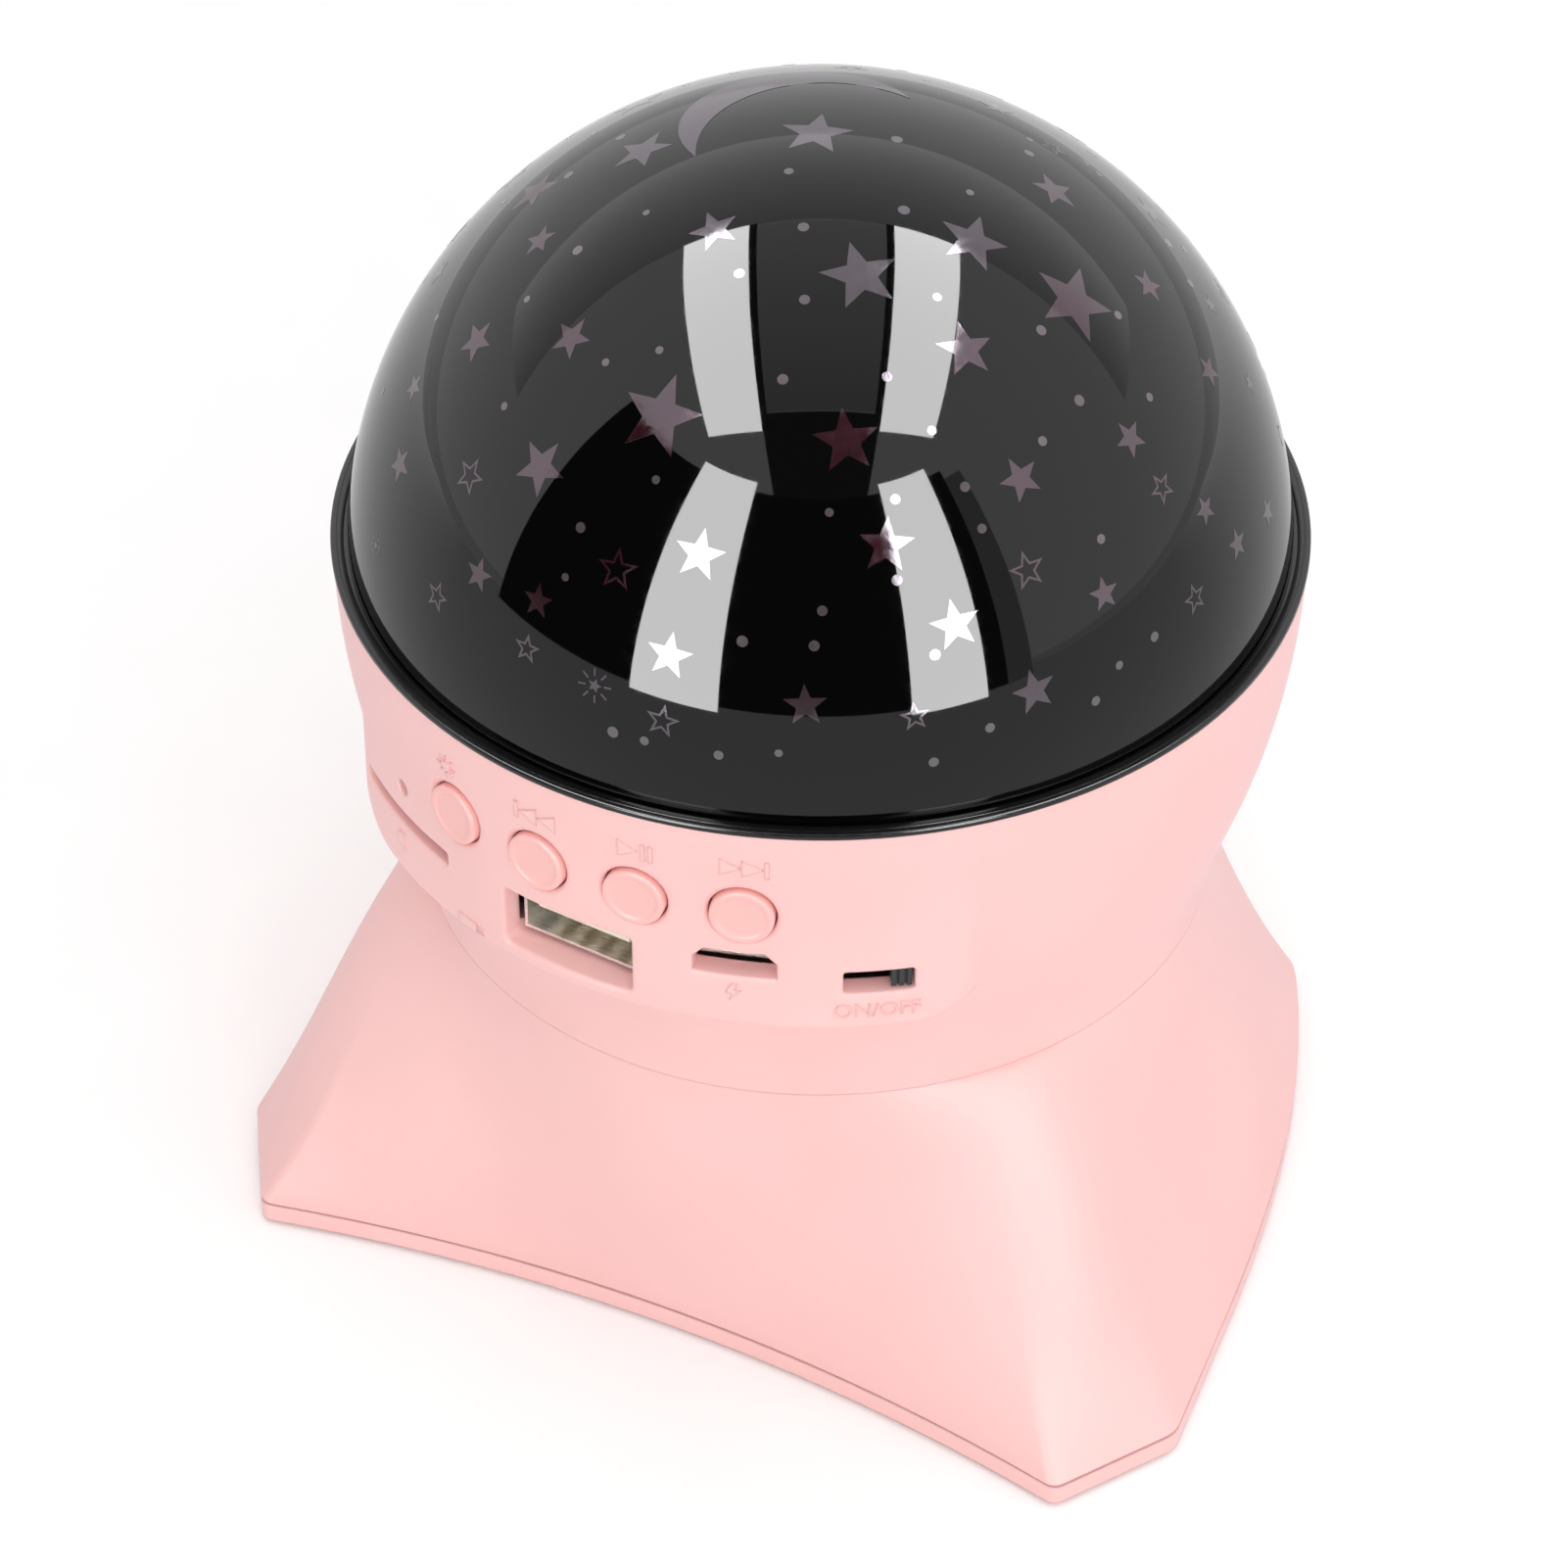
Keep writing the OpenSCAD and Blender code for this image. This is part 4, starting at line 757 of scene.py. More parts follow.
def flat_star(outer, inner, cuts, outline=0.0):
    """A flat star in millimetres, cut finely enough to bend; with an outline it is hollow."""
    put_down()
    bpy.ops.mesh.primitive_circle_add(vertices=2 * STAR_POINTS, radius=1,
                                      fill_type="NGON" if outline else "TRIFAN")
    piece = bpy.context.object
    rim = [vertex for vertex in piece.data.vertices if vertex.co.length > 0.5]
    for k, vertex in enumerate(rim):
        angle = math.pi / 2 + k * math.pi / STAR_POINTS
        reach = inner if k % 2 else outer
        vertex.co = (reach * math.cos(angle), reach * math.sin(angle), 0)
    edit(piece)
    if outline:
        bpy.ops.mesh.inset(thickness=outline)
        bpy.ops.mesh.delete(type="FACE")
        bpy.ops.mesh.select_all(action="SELECT")
    bpy.ops.mesh.subdivide(number_cuts=cuts)
    put_down()
    return piece


def finish_film(pieces, name, finish):
    """Joins shapes that lie on the dome and gives them their thickness and finish."""
    layer = join(pieces, name)
    apply(layer, "SOLIDIFY", thickness=FILM_THICK * MM, offset=-1)
    dress(layer, "dome", "black_dome", finish)


# %% Places of the print: azimuth, rise and, for stars, radius in millimetres
SOLID_STARS = [
    (-138, 87, 3.8), (-75, 53, 3.0), (-55, 55, 2.0), (120, 62, 2.6), (160, 61, 2.0), (134, 45, 2.2),
    (-16, 72, 2.6), (81, 68, 3.6), (40, 69, 4.0), (89, 55, 4.5), (59, 57, 3.0), (108, 48, 2.0),
    (-44, 43, 2.4), (-26, 52, 2.3), (-1, 49, 4.3), (32, 49, 3.3), (104, 36, 1.8), (80, 39, 2.0),
    (59, 41, 2.3), (-17, 38, 3.0), (-43, 25, 2.0), (-50, 32, 1.6), (87, 26, 1.6), (91, 19, 1.7),
    (101, 17, 1.6), (11, 35, 2.6), (9, 23, 2.4), (37, 37, 2.8), (45, 27, 2.6), (26, 19, 2.2),
    (-20, 23, 1.8), (-10, 24, 1.8), (66, 25, 1.8), (54, 17, 2.4), (-71, 37, 1.4), (119, 37, 1.2),
    (113, 28, 1.2), (117, 17, 1.2),
]
OUTLINED_STARS = [
    (-28, 32, 2.0), (-26, 17, 1.7), (-10, 18, 1.6), (0, 31, 2.2), (9, 15, 1.8), (39, 17, 1.6),
    (56, 31, 2.0), (81, 32, 1.7), (80, 18, 1.7),
]
BURSTS = [(-42, 14, 1.2), (0, 17, 1.8)]
DOTS = [
    (-75, 58), (-42, 68), (-87, 63), (-12, 84), (19, 76), (134, 81), (70, 76), (101, 72), (143, 62),
    (140, 54), (126, 44), (119, 41), (2, 68), (23, 66), (59, 64), (41, 56), (20, 56), (47, 49),
    (77, 55), (95, 50), (88, 41), (75, 46), (65, 44), (50, 42), (-42, 51), (-44, 59), (-29, 41),
    (-16, 52), (-7, 56), (2, 42), (-7, 34), (-7, 28), (29, 41), (39, 42), (38, 33), (28, 30),
    (27, 26), (18, 26), (42, 24), (51, 37), (68, 31), (72, 17), (66, 16), (62, 13), (48, 14),
    (41, 11), (16, 12), (23, 13), (7, 12), (3, 12), (-58, 38), (-59, 25),
]
MOON_R = 12.3
MOON_BITE_R = 13.6
MOON_SHIFT = 6.8
MOON_PLACE = (-134, 81.2, 10)
MOON_REACH = 18

# %% Scatter the far side
FAR_TURNS = (128, 284)
FAR_HEIGHTS = (0.2, 0.93)
dice = random.Random(11)


def apart(place, others, gap):
    """Whether a place on the dome keeps its distance from all others, in degrees."""
    here = on_dome(place[0], place[1])
    return all(math.degrees(here.angle(on_dome(other[0], other[1]))) > gap for other in others)


def scatter(count, gap, others, sizes):
    """Places on the far side of the dome, which go on with the print at random."""
    found = []
    while len(found) < count:
        place = (dice.uniform(*FAR_TURNS), math.degrees(math.asin(dice.uniform(*FAR_HEIGHTS))),
                 dice.uniform(*sizes))
        if apart(place, others + found, gap) and apart(place, [MOON_PLACE], MOON_REACH):
            found.append(place)
    return found


far_stars = scatter(30, 12, SOLID_STARS, (1.6, 3.6))
far_outlines = scatter(9, 9, SOLID_STARS + far_stars, (1.6, 2.1))
far_dots = scatter(46, 6, SOLID_STARS + far_stars + far_outlines, (0.4, 0.6))
print("scattered", len(far_stars + far_outlines), "stars and", len(far_dots), "dots")

# %% Stars
TILT = 14
LARGE_STAR = 2.5
LINE_WIDTH = 0.22


def lay_stars(places, name, outline=0.0):
    """Lays stars on the dome, each tilted a little at random."""
    films = []
    for azimuth, rise, radius in places:
        shape = flat_star(radius, radius * STAR_WAIST, 4 if radius > LARGE_STAR else 3, outline)
        lay_on_dome(shape, azimuth, rise, dice.uniform(-TILT, TILT))
        films.append(shape)
    finish_film(films, name, star_film)


lay_stars(SOLID_STARS + far_stars, "solid_stars")
lay_stars(OUTLINED_STARS + far_outlines, "outlined_stars", LINE_WIDTH)

# %% Dots
DOT_SIZES = (0.38, 0.6)
films = []
for azimuth, rise in DOTS + [place[:2] for place in far_dots]:
    put_down()
    bpy.ops.mesh.primitive_circle_add(vertices=14, radius=dice.uniform(*DOT_SIZES), fill_type="TRIFAN")
    dot = bpy.context.object
    lay_on_dome(dot, azimuth, rise, 0)
    films.append(dot)
finish_film(films, "star_dots", dot_film)

# %% Bursts
FAR_BURSTS = [(205, 22, 1.5), (243, 47, 1.6)]
HEART = 0.42
HEART_WAIST = 0.2
RAYS = 8
RAY_TURN = 18
RAY_NEAR = 0.55
RAY_WIDTH = 0.09
films = []
for azimuth, rise, radius in BURSTS + FAR_BURSTS:
    turn = dice.uniform(-TILT, TILT)
    heart = flat_star(radius * HEART, radius * HEART_WAIST, 1)
    lay_on_dome(heart, azimuth, rise, turn)
    films.append(heart)
    for k in range(RAYS):
        put_down()
        bpy.ops.mesh.primitive_grid_add(x_subdivisions=4, y_subdivisions=1, size=2)
        ray = bpy.context.object
        for vertex in ray.data.vertices:
            along = radius * (RAY_NEAR + (1 - RAY_NEAR) * (vertex.co.x + 1) / 2)
            vertex.co = (along, vertex.co.y * RAY_WIDTH, 0)
        lay_on_dome(ray, azimuth, rise, turn + 360 / RAYS * k + RAY_TURN)
        films.append(ray)
finish_film(films, "star_bursts", star_film)

# %% Crescent
MOON_CUTS = (48, 4)
MOON_MERGE = 10 * MERGE
tip_y = (MOON_R ** 2 - MOON_BITE_R ** 2 + MOON_SHIFT ** 2) / (2 * MOON_SHIFT)
outer_tip = math.asin(tip_y / MOON_R)
inner_tip = math.asin((tip_y - MOON_SHIFT) / MOON_BITE_R)


def limb(radius, tip, along):
    """A point on an edge of the crescent, which is a circle from tip to tip."""
    turn = tip - along * (math.pi + 2 * tip)
    return Vector((math.cos(turn), math.sin(turn), 0)) * radius


put_down()
bpy.ops.mesh.primitive_grid_add(x_subdivisions=MOON_CUTS[0], y_subdivisions=MOON_CUTS[1], size=2)
moon = bpy.context.object
for vertex in moon.data.vertices:
    along = (vertex.co.x + 1) / 2
    inwards = (vertex.co.y + 1) / 2
    inner_point = limb(MOON_BITE_R, inner_tip, along)
    inner_point.y += MOON_SHIFT
    vertex.co = limb(MOON_R, outer_tip, along).lerp(inner_point, inwards)
lay_on_dome(moon, *MOON_PLACE)
edit(moon)
bpy.ops.mesh.remove_doubles(threshold=MOON_MERGE)
put_down()
finish_film([moon], "crescent", star_film)

# %% [markdown]
# ## Shaped tubes
#
# The skirt and the bowl are both tubes whose radius changes from place to place. Such a tube
# starts as an upright cylinder without ends. Its walls are cut into rows, and every point then
# knows its column and its row, so that one formula can move it to its place. Short tubes of the
# same kind make the screw pillars.

# %% A tube of columns and rows
def tube(name, columns, rows, ends="NOTHING"):
    """An upright tube, with the index, the column and the row of each of its points."""
    put_down()
    bpy.ops.mesh.primitive_cylinder_add(vertices=columns, radius=1, depth=rows - 1,
                                        end_fill_type=ends)
    piece = bpy.context.object
    piece.name = name
    edit(piece, "DESELECT")
    bpy.ops.mesh.select_mode(type="EDGE")
    mesh = bmesh.from_edit_mesh(piece.data)
    for edge in mesh.edges:
        if abs(edge.verts[0].co.z - edge.verts[1].co.z) > 0.5:
            edge.select = True
    bmesh.update_edit_mesh(piece.data)
    if rows > 2:
        bpy.ops.mesh.subdivide(number_cuts=rows - 2)
    bpy.ops.mesh.select_mode(type="VERT")
    put_down()
    column_turn = 2 * math.pi / columns
    places = []
    for vertex in piece.data.vertices:
        turn = math.atan2(vertex.co.x, vertex.co.y)
        places.append((vertex.index, round(turn / column_turn) % columns,
                       round(vertex.co.z + (rows - 1) / 2)))
    return piece, places


# %% A screw pillar
POST_R = 3.2
POST_BORE = 1.0
POST_SIDES = 28


def post(name, x, y, bottom, top):
    """A hollow screw pillar that stands at a place."""
    piece, places = tube(name, POST_SIDES, 2)
    for index, column, row in places:
        turn = 2 * math.pi * column / POST_SIDES
        piece.data.vertices[index].co = Vector((x + POST_R * math.sin(turn), y + POST_R * math.cos(turn),
                                                (bottom, top)[row])) * MM
    point_outwards(piece)
    apply(piece, "SOLIDIFY", thickness=(POST_R - POST_BORE) * MM, offset=-1)
    return piece


# %% [markdown]
# ## Pedestal
#
# The skirt flares from the round neck to a foot with a hollow front and cut corners. The foot's
# outline is drawn first, and its corners are softened. On the way down the radius grows with a
# power of the way: the front and the sides run hollow, and the corners run full. The corners stay
# blunt for most of the way and only turn sharp near the foot.

# %% Outline of the foot
BOWL_CURVE = 85
NECK_H = 6
NECK_TAPER = 0.3


def bowl_side(z):
    """Radius of the bowl's curved side at a height."""
    return HOUSING_R - BOWL_CURVE + math.sqrt(BOWL_CURVE ** 2 - (RING_Z - z) ** 2)


NECK_R = bowl_side(NECK_Z + NECK_H) - NECK_TAPER
FRONT_Y = NECK_R - 6.4
CORNER = Vector((NECK_R + 5.6, -(FRONT_Y + 5.4)))
FACET_END = Vector((NECK_R + 13.7, CORNER.y + 12.9))
REAR_CORNER = Vector((NECK_R - 2.4, NECK_R + 1.2))
BACK_MIDDLE = Vector((0, RING_R))
SIDE_PULL = 0.62 * NECK_R * Vector((-0.11, 0.99))
REAR_WAY = Vector((-0.45, 0.89))
REAR_PULL_IN = 0.62 * NECK_R * REAR_WAY
REAR_PULL_OUT = 0.14 * NECK_R * REAR_WAY
BACK_PULL = Vector((0.71 * NECK_R, 0))
SOFT_REACH = 1.2
BEND_PULL = 0.66
FRONT_STEPS = 26
FACET_STEPS = 8
CURVE_STEPS = 30
BEND_STEPS = 7


def curve(a, b, c, d, steps):
    """Points on the curve from a to d with the handles b and c, without its last point."""
    points = []
    for k in range(steps):
        t = k / steps
        points.append((1 - t) ** 3 * a + 3 * (1 - t) ** 2 * t * b + 3 * (1 - t) * t * t * c + t ** 3 * d)
    return points


def rounded(points, corner, reach):
    """The points, with those near a corner swapped for a soft bend."""
    near = [k for k, point in enumerate(points) if (point - corner).length < reach]
    before, after = points[near[0] - 1], points[near[-1] + 1]
    start = corner.lerp(before, reach / (before - corner).length)
    end = corner.lerp(after, reach / (after - corner).length)
    bend = curve(start, start.lerp(corner, BEND_PULL), end.lerp(corner, BEND_PULL), end, BEND_STEPS)
    return points[:near[0]] + bend + [end] + points[near[-1] + 1:]


def foot_outline():
    """The foot's outline, anticlockwise from the middle of the front."""
    shares = [k / FRONT_STEPS for k in range(FRONT_STEPS)]
    front = [Vector((CORNER.x * share, -FRONT_Y + (CORNER.y + FRONT_Y) * share ** 2)) for share in shares]
    facet = [CORNER.lerp(FACET_END, k / FACET_STEPS) for k in range(FACET_STEPS)]
    side = curve(FACET_END, FACET_END + SIDE_PULL, REAR_CORNER - REAR_PULL_IN, REAR_CORNER, CURVE_STEPS)
    back = curve(REAR_CORNER, REAR_CORNER + REAR_PULL_OUT, BACK_MIDDLE + BACK_PULL, BACK_MIDDLE, CURVE_STEPS)
    right = front + facet + side + back
    for corner in (CORNER, FACET_END, REAR_CORNER):
        right = rounded(right, corner, SOFT_REACH)
    left = [Vector((-p.x, p.y)) for p in reversed(right[1:])]
    return right + [BACK_MIDDLE] + left


outline = foot_outline()
print("the foot's outline has", len(outline), "points")

# %% Skirt
SKIRT_H = NECK_Z - SEAM_Z
SKIRT_WALL = 2.4
SEAM_GAP = 0.18
SEAM_SOFT = 0.3
CORNER_SHARP = 3
SOFT_TURNS = range(-12, 13, 4)
FLARES = ((0, 1.2), (55, 0.68), (90, 1.8), (150, 1.02), (180, 1.02))
SKIRT_ROWS = 30
ROW_CROWDING = 1.5
WIRE_HOLE_Y = -12
WIRE_HOLE_R = 4


def bearing(point):
    """Direction of a point in degrees, from the front towards +X."""
    return math.degrees(math.atan2(point.x, -point.y))


by_bearing = sorted((bearing(point), point.length) for point in outline)


def outline_radius(turn):
    """Distance of the outline from the axis in a direction."""
    turn = (turn + 180) % 360 - 180
    previous = (by_bearing[-1][0] - 360, by_bearing[-1][1])
    for here in by_bearing + [(by_bearing[0][0] + 360, by_bearing[0][1])]:
        if here[0] >= turn:
            share = (turn - previous[0]) / (here[0] - previous[0])
            return previous[1] + share * (here[1] - previous[1])
        previous = here


def flare(turn):
    """Power of the flare in a direction, eased from one stated direction to the next."""
    turn = abs(turn)
    for (start, first), (end, last) in zip(FLARES, FLARES[1:]):
        if turn <= end:
            t = (turn - start) / (end - start)
            return first + (last - first) * t * t * (3 - 2 * t)


def skirt_radius(point, soft, share):
    """Radius of the skirt above an outline point, at a share of the way down."""
    sharp = share ** CORNER_SHARP
    reach = (1 - sharp) * soft + sharp * point.length
    return NECK_R + (reach - NECK_R) * share ** flare(bearing(point))


def soft_radius(point):
    """Radius of the outline averaged round a point, which takes its corners off."""
    near = [outline_radius(bearing(point) + turn) for turn in SOFT_TURNS]
    return sum(near) / len(near)


skirt, places = tube("pedestal_shell", len(outline), SKIRT_ROWS + 3)
softened = [soft_radius(point) for point in outline]
for index, column, row in places:
    point = outline[column]
    if row == SKIRT_ROWS + 2:
        # the last row turns inwards and makes the shelf round the wire hole
        place = point.normalized() * WIRE_HOLE_R + Vector((0, WIRE_HOLE_Y))
        height = NECK_Z
    else:
        share = ((SKIRT_ROWS + 1 - max(row, 1)) / SKIRT_ROWS) ** ROW_CROWDING
        radius = skirt_radius(point, softened[column], share)
        height = NECK_Z - (SKIRT_H - SEAM_GAP - SEAM_SOFT) * share
        if row == 0:
            # the first row is the soft lower edge, a hair above the seam
            radius -= SEAM_SOFT / 2
            height = SEAM_Z + SEAM_GAP
        place = point.normalized() * radius
    skirt.data.vertices[index].co = Vector((place.x, place.y, height)) * MM
point_outwards(skirt)
apply(skirt, "SOLIDIFY", thickness=SKIRT_WALL * MM, offset=-1)

# %% Screw bosses inside the skirt
BOSSES = [(CORNER.x - 3.8, CORNER.y + 9.6), (REAR_CORNER.x - 9.4, REAR_CORNER.y - 6.6)]
BOSS_SPARE = 1.6
pieces = [skirt]
for x, y in BOSSES:
    boss = Vector((x, y))
    edge = boss.normalized() * outline_radius(bearing(boss))
    reach = boss.length + BOSS_SPARE + SKIRT_WALL
    shares = [k / 100 for k in range(101)]
    first = min(share for share in shares if skirt_radius(edge, soft_radius(edge), share) >= reach)
    for side in (-1, 1):
        pieces.append(post("boss", side * x, y, SEAM_Z, NECK_Z - SKIRT_H * first))
skirt = join(pieces, "pedestal_shell")
dress(skirt, "lamp_base", "pink_shell")
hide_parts("pedestal_skirt")

# %% [markdown]
# ## Base plate
#
# The plate closes the pedestal from below. Its visible edge has the same soft corners as the
# skirt. So the plate is a copy of the CAD piece: its loose triangles are merged and its flat
# faces are made whole, and the upright edges at the corners get a round bevel.

# %% Base plate with soft corners
CORNER_NEAR = 0.2
PLATE_ROUND = 1.0
put_down()
bpy.ops.mesh.primitive_cube_add(size=MM)
plate = bpy.context.object
plate.name = "foot_plate"
plate.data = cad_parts["base_plate"].data.copy()
edit(plate)
bpy.ops.mesh.remove_doubles(threshold=MERGE)
bpy.ops.mesh.dissolve_limited(angle_limit=math.radians(1))
bpy.ops.mesh.select_all(action="DESELECT")
bpy.ops.mesh.select_mode(type="EDGE")
plate_corners = [corner * sign for corner in (CORNER, FACET_END, REAR_CORNER)
                 for sign in (Vector((1, 1)), Vector((-1, 1)))]
mesh = bmesh.from_edit_mesh(plate.data)
for edge in mesh.edges:
    middle = (edge.verts[0].co + edge.verts[1].co) / 2 / MM
    upright_edge = abs(edge.verts[0].co.z - edge.verts[1].co.z) > MM
    if upright_edge and any((middle.xy - corner).length < CORNER_NEAR for corner in plate_corners):
        edge.select = True
bmesh.update_edit_mesh(plate.data)
bpy.ops.mesh.bevel(offset=PLATE_ROUND * MM, segments=5)
bpy.ops.mesh.select_mode(type="VERT")
put_down()
dress(plate, "lamp_base", "pink_shell", smooth=30)
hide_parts("base_plate")

# %% [markdown]
# ## Bowl with its panel
#
# The bowl is a tube too, but its front carries a raised panel with soft edges. Its skin is found
# from distances. One function says how far a point lies outside the panel's block and outside
# the bowl, and it blends the two. For every column and row the radius is then searched at which
# that distance is zero. The rows follow the panel's lower outline, so its edge stays clean.

# %% Distance from the skin
PANEL_HALF = 34.6
PANEL_FOOT = RING_Z - 25.5
PANEL_CORNER = 5.5
PANEL_EDGE = 1.2
PANEL_REACH = math.radians(60)
CREASE = 0.6
NECK_SOFT = 1.6
WALL = 2.4
HALVINGS = 20


def soft_max(a, b, reach):
    """The larger of two numbers, with a smooth change where they are nearly equal."""
    near = max(reach - abs(a - b), 0) / reach
    return max(a, b) + near * near * reach / 4


def corner_distance(a, b):
    """Distance from a quadrant's edge, negative inside it."""
    return min(max(a, b), 0) + math.hypot(max(a, 0), max(b, 0))


def bowl_radius(z):
    """Radius of the bowl and its neck at a height, with a soft change between them."""
    neck = NECK_R + NECK_TAPER * (z - NECK_Z) / NECK_H
    return soft_max(bowl_side(z), neck, NECK_SOFT)


def outside(radius, azimuth, z, inset):
    """How far a point lies outside the skin that runs inset millimetres under the surface."""
    side = abs(radius * math.sin(azimuth)) - PANEL_HALF + PANEL_CORNER
    drop = PANEL_FOOT + PANEL_CORNER - z
    border = corner_distance(side, drop) - PANEL_CORNER + inset
    drum = radius - PANEL_R + inset
    panel = corner_distance(drum + PANEL_EDGE, border + PANEL_EDGE) - PANEL_EDGE
    bowl = radius - bowl_radius(z) + inset
    return -soft_max(-panel, -bowl, CREASE)


def skin_radius(azimuth, z, inset=0.0):
    """Radius of the housing's skin in a direction, found by halving."""
    if abs(azimuth) > PANEL_REACH:
        return bowl_radius(z) - inset
    near, far = NECK_R - 2 * WALL, PANEL_R + 1
    for _ in range(HALVINGS):
        middle = (near + far) / 2
        if outside(middle, azimuth, z, inset) > 0:
            far = middle
        else:
            near = middle
    return near


# %% Columns and rows of the bowl
EDGE_ROWS = (-1.5, -1, -0.6, -0.3, -0.12, -0.01, 0.01, 0.08, 0.2, 0.35, 0.55, 0.8, 1.1, 1.5)
NECK_ROWS = 20
NECK_STEP = 0.7
PANEL_ROWS = 18
PANEL_START = PANEL_FOOT + 2
COLUMN_STEPS = ((41.5, 1.2), (49.5, 0.35), (60, 1.2), (181, 3.0))


def azimuth_steps():
    """Directions from the back round to the back, close together at the panel's sides."""
    turns = [-180.0]
    while turns[-1] < 180:
        away = abs(turns[-1] + 0.01)
        turns.append(turns[-1] + next(step for end, step in COLUMN_STEPS if away < end))
    return [math.radians(turn) for turn in turns[:-1]]


def lift(azimuth):
    """How far the panel's lower outline has risen in a direction: it goes up at the corners."""
    across = PANEL_R * math.sin(min(abs(azimuth), math.pi / 2)) - PANEL_HALF + PANEL_CORNER
    if across <= 0:
        return 0
    if across < PANEL_CORNER:
        return PANEL_CORNER - math.sqrt(PANEL_CORNER ** 2 - across ** 2)
    return PANEL_CORNER * max(0, 1 - (across - PANEL_CORNER) / PANEL_CORNER)


def row_height(height, azimuth):
    """Height of a row in a direction: rows near the panel's lower outline rise with it."""
    if height > PANEL_FOOT:
        share = (RING_Z - height) / (RING_Z - PANEL_FOOT)
    else:
        share = (height - NECK_Z) / (PANEL_FOOT - NECK_Z)
    return height + lift(azimuth) * share


# %% Bowl
FLOOR_PINCH = 0.1
turns = azimuth_steps()
heights = [NECK_Z + NECK_STEP * k for k in range(NECK_ROWS)]
heights += [PANEL_FOOT + step for step in EDGE_ROWS]
heights += [PANEL_START + (RING_Z - PANEL_START) * k / PANEL_ROWS for k in range(PANEL_ROWS + 1)]
housing, places = tube("housing_shell", len(turns), len(heights) + 1)
inner = {}
for index, column, row in places:
    azimuth = turns[column]
    out = Vector((math.sin(azimuth), -math.cos(azimuth), 0))
    if row == 0:
        # the first row turns inwards and makes the floor round the wire hole
        place = out * WIRE_HOLE_R + Vector((0, WIRE_HOLE_Y, NECK_Z))
        inner[index] = place + Vector((0, 0, WALL))
    else:
        z = row_height(heights[row - 1], azimuth)
        place = out * skin_radius(azimuth, z) + Vector((0, 0, z))
        inside = min(skin_radius(azimuth, z, WALL), skin_radius(azimuth, z) - WALL * 0.9)
        floor_share = min(1, (z - NECK_Z) / WALL)
        pinch = 1 - FLOOR_PINCH + FLOOR_PINCH * floor_share
        inner[index] = out * inside * pinch + Vector((0, 0, max(z, NECK_Z + WALL)))
    housing.data.vertices[index].co = place * MM
point_outwards(housing)
outer_count = len(housing.data.vertices)
apply(housing, "SOLIDIFY", thickness=WALL * MM, offset=-1)
for index, place in inner.items():
    housing.data.vertices[outer_count + index].co = place * MM
point_outwards(housing)
print("the bowl's skin has", outer_count, "points")

# %% [markdown]
# ## Holes in the panel
#
# Each hole has a cutter: a rod with the hole's outline that follows the panel's curve. Its last
# rows grow wider, which leaves a rounded lip. All cutters are joined and taken away at once.

# %% Cutters
ROW_TURN = -1.7
BUTTON_PITCH = 12.7
BUTTON_TURNS = [ROW_TURN + k * BUTTON_PITCH for k in (-1.5, -0.5, 0.5, 1.5)]
BUTTON_Z = RING_Z - 10.6
USB_TURN = -4.5
DC_TURN = 16.4
CARD_TURN = -32.2
SWITCH_TURN = 33
USB_Z = RING_Z - 19.9
DC_Z = RING_Z - 17.05
CARD_Z = RING_Z - 17.65
SWITCH_Z = RING_Z - 19
LAMP_HOLE_Z = RING_Z - 13.5
LAMP_HOLE_TURN = CARD_TURN + 0.6
CUT_DEPTH = 5.0
CUT_CLEAR = 0.3
CUT_END = 1.5
LIP_SLOPE = 2.2


def filled(corners):
    """A closed outline with more points on its long edges, a millimetre apart or less."""
    points = []
    for a, b in zip(corners, corners[1:] + corners[:1]):
        count = max(1, math.ceil((b - a).length))
        points += [a.lerp(b, k / count) for k in range(count)]
    return points


def slot(width, height, corner):
    """Outline of a slot with rounded corners."""
    corners = []
    for quarter, (sx, sy) in enumerate(((1, 1), (-1, 1), (-1, -1), (1, -1))):
        for k in range(4):
            turn = math.radians(90 * quarter + 30 * k)
            corners.append(Vector((sx * (width / 2 - corner) + corner * math.cos(turn),
                                   sy * (height / 2 - corner) + corner * math.sin(turn))))
    return filled(corners)


def disc(radius, count):
    """Outline of a round hole."""
    turns = [2 * math.pi * k / count for k in range(count)]
    return [Vector((radius * math.cos(turn), radius * math.sin(turn))) for turn in turns]


def cutter(azimuth, height, shape, lip, draft=0.0):
    """A rod with the shape's outline that widens to a rounded lip at the panel's surface."""
    levels = [(CUT_DEPTH, -draft), (lip, 0.0)]
    for slope in (22, 44, 66):
        turn = math.radians(slope)
        levels.append((lip * (1 - math.sin(turn)), lip * (1 - math.cos(turn))))
    depth, grow = levels[-1]
    grow += LIP_SLOPE * (depth + CUT_CLEAR)
    levels += [(-CUT_CLEAR, grow), (-CUT_END, grow)]
    piece, places = tube("cutter", len(shape), len(levels), "NGON")
    half_w = max(point.x for point in shape)
    half_h = max(point.y for point in shape)
    turn = math.radians(azimuth)
    for index, column, row in places:
        depth, grow = levels[row]
        x = shape[column].x * (1 + grow / half_w)
        z = shape[column].y * (1 + grow / half_h)
        y = depth - PANEL_R
        if 0 < row < len(levels) - 1:
            y = -math.sqrt((PANEL_R - depth) ** 2 - x * x)
        piece.data.vertices[index].co = Vector((x * math.cos(turn) - y * math.sin(turn),
                                                x * math.sin(turn) + y * math.cos(turn),
                                                height + z)) * MM
    point_outwards(piece)
    return piece


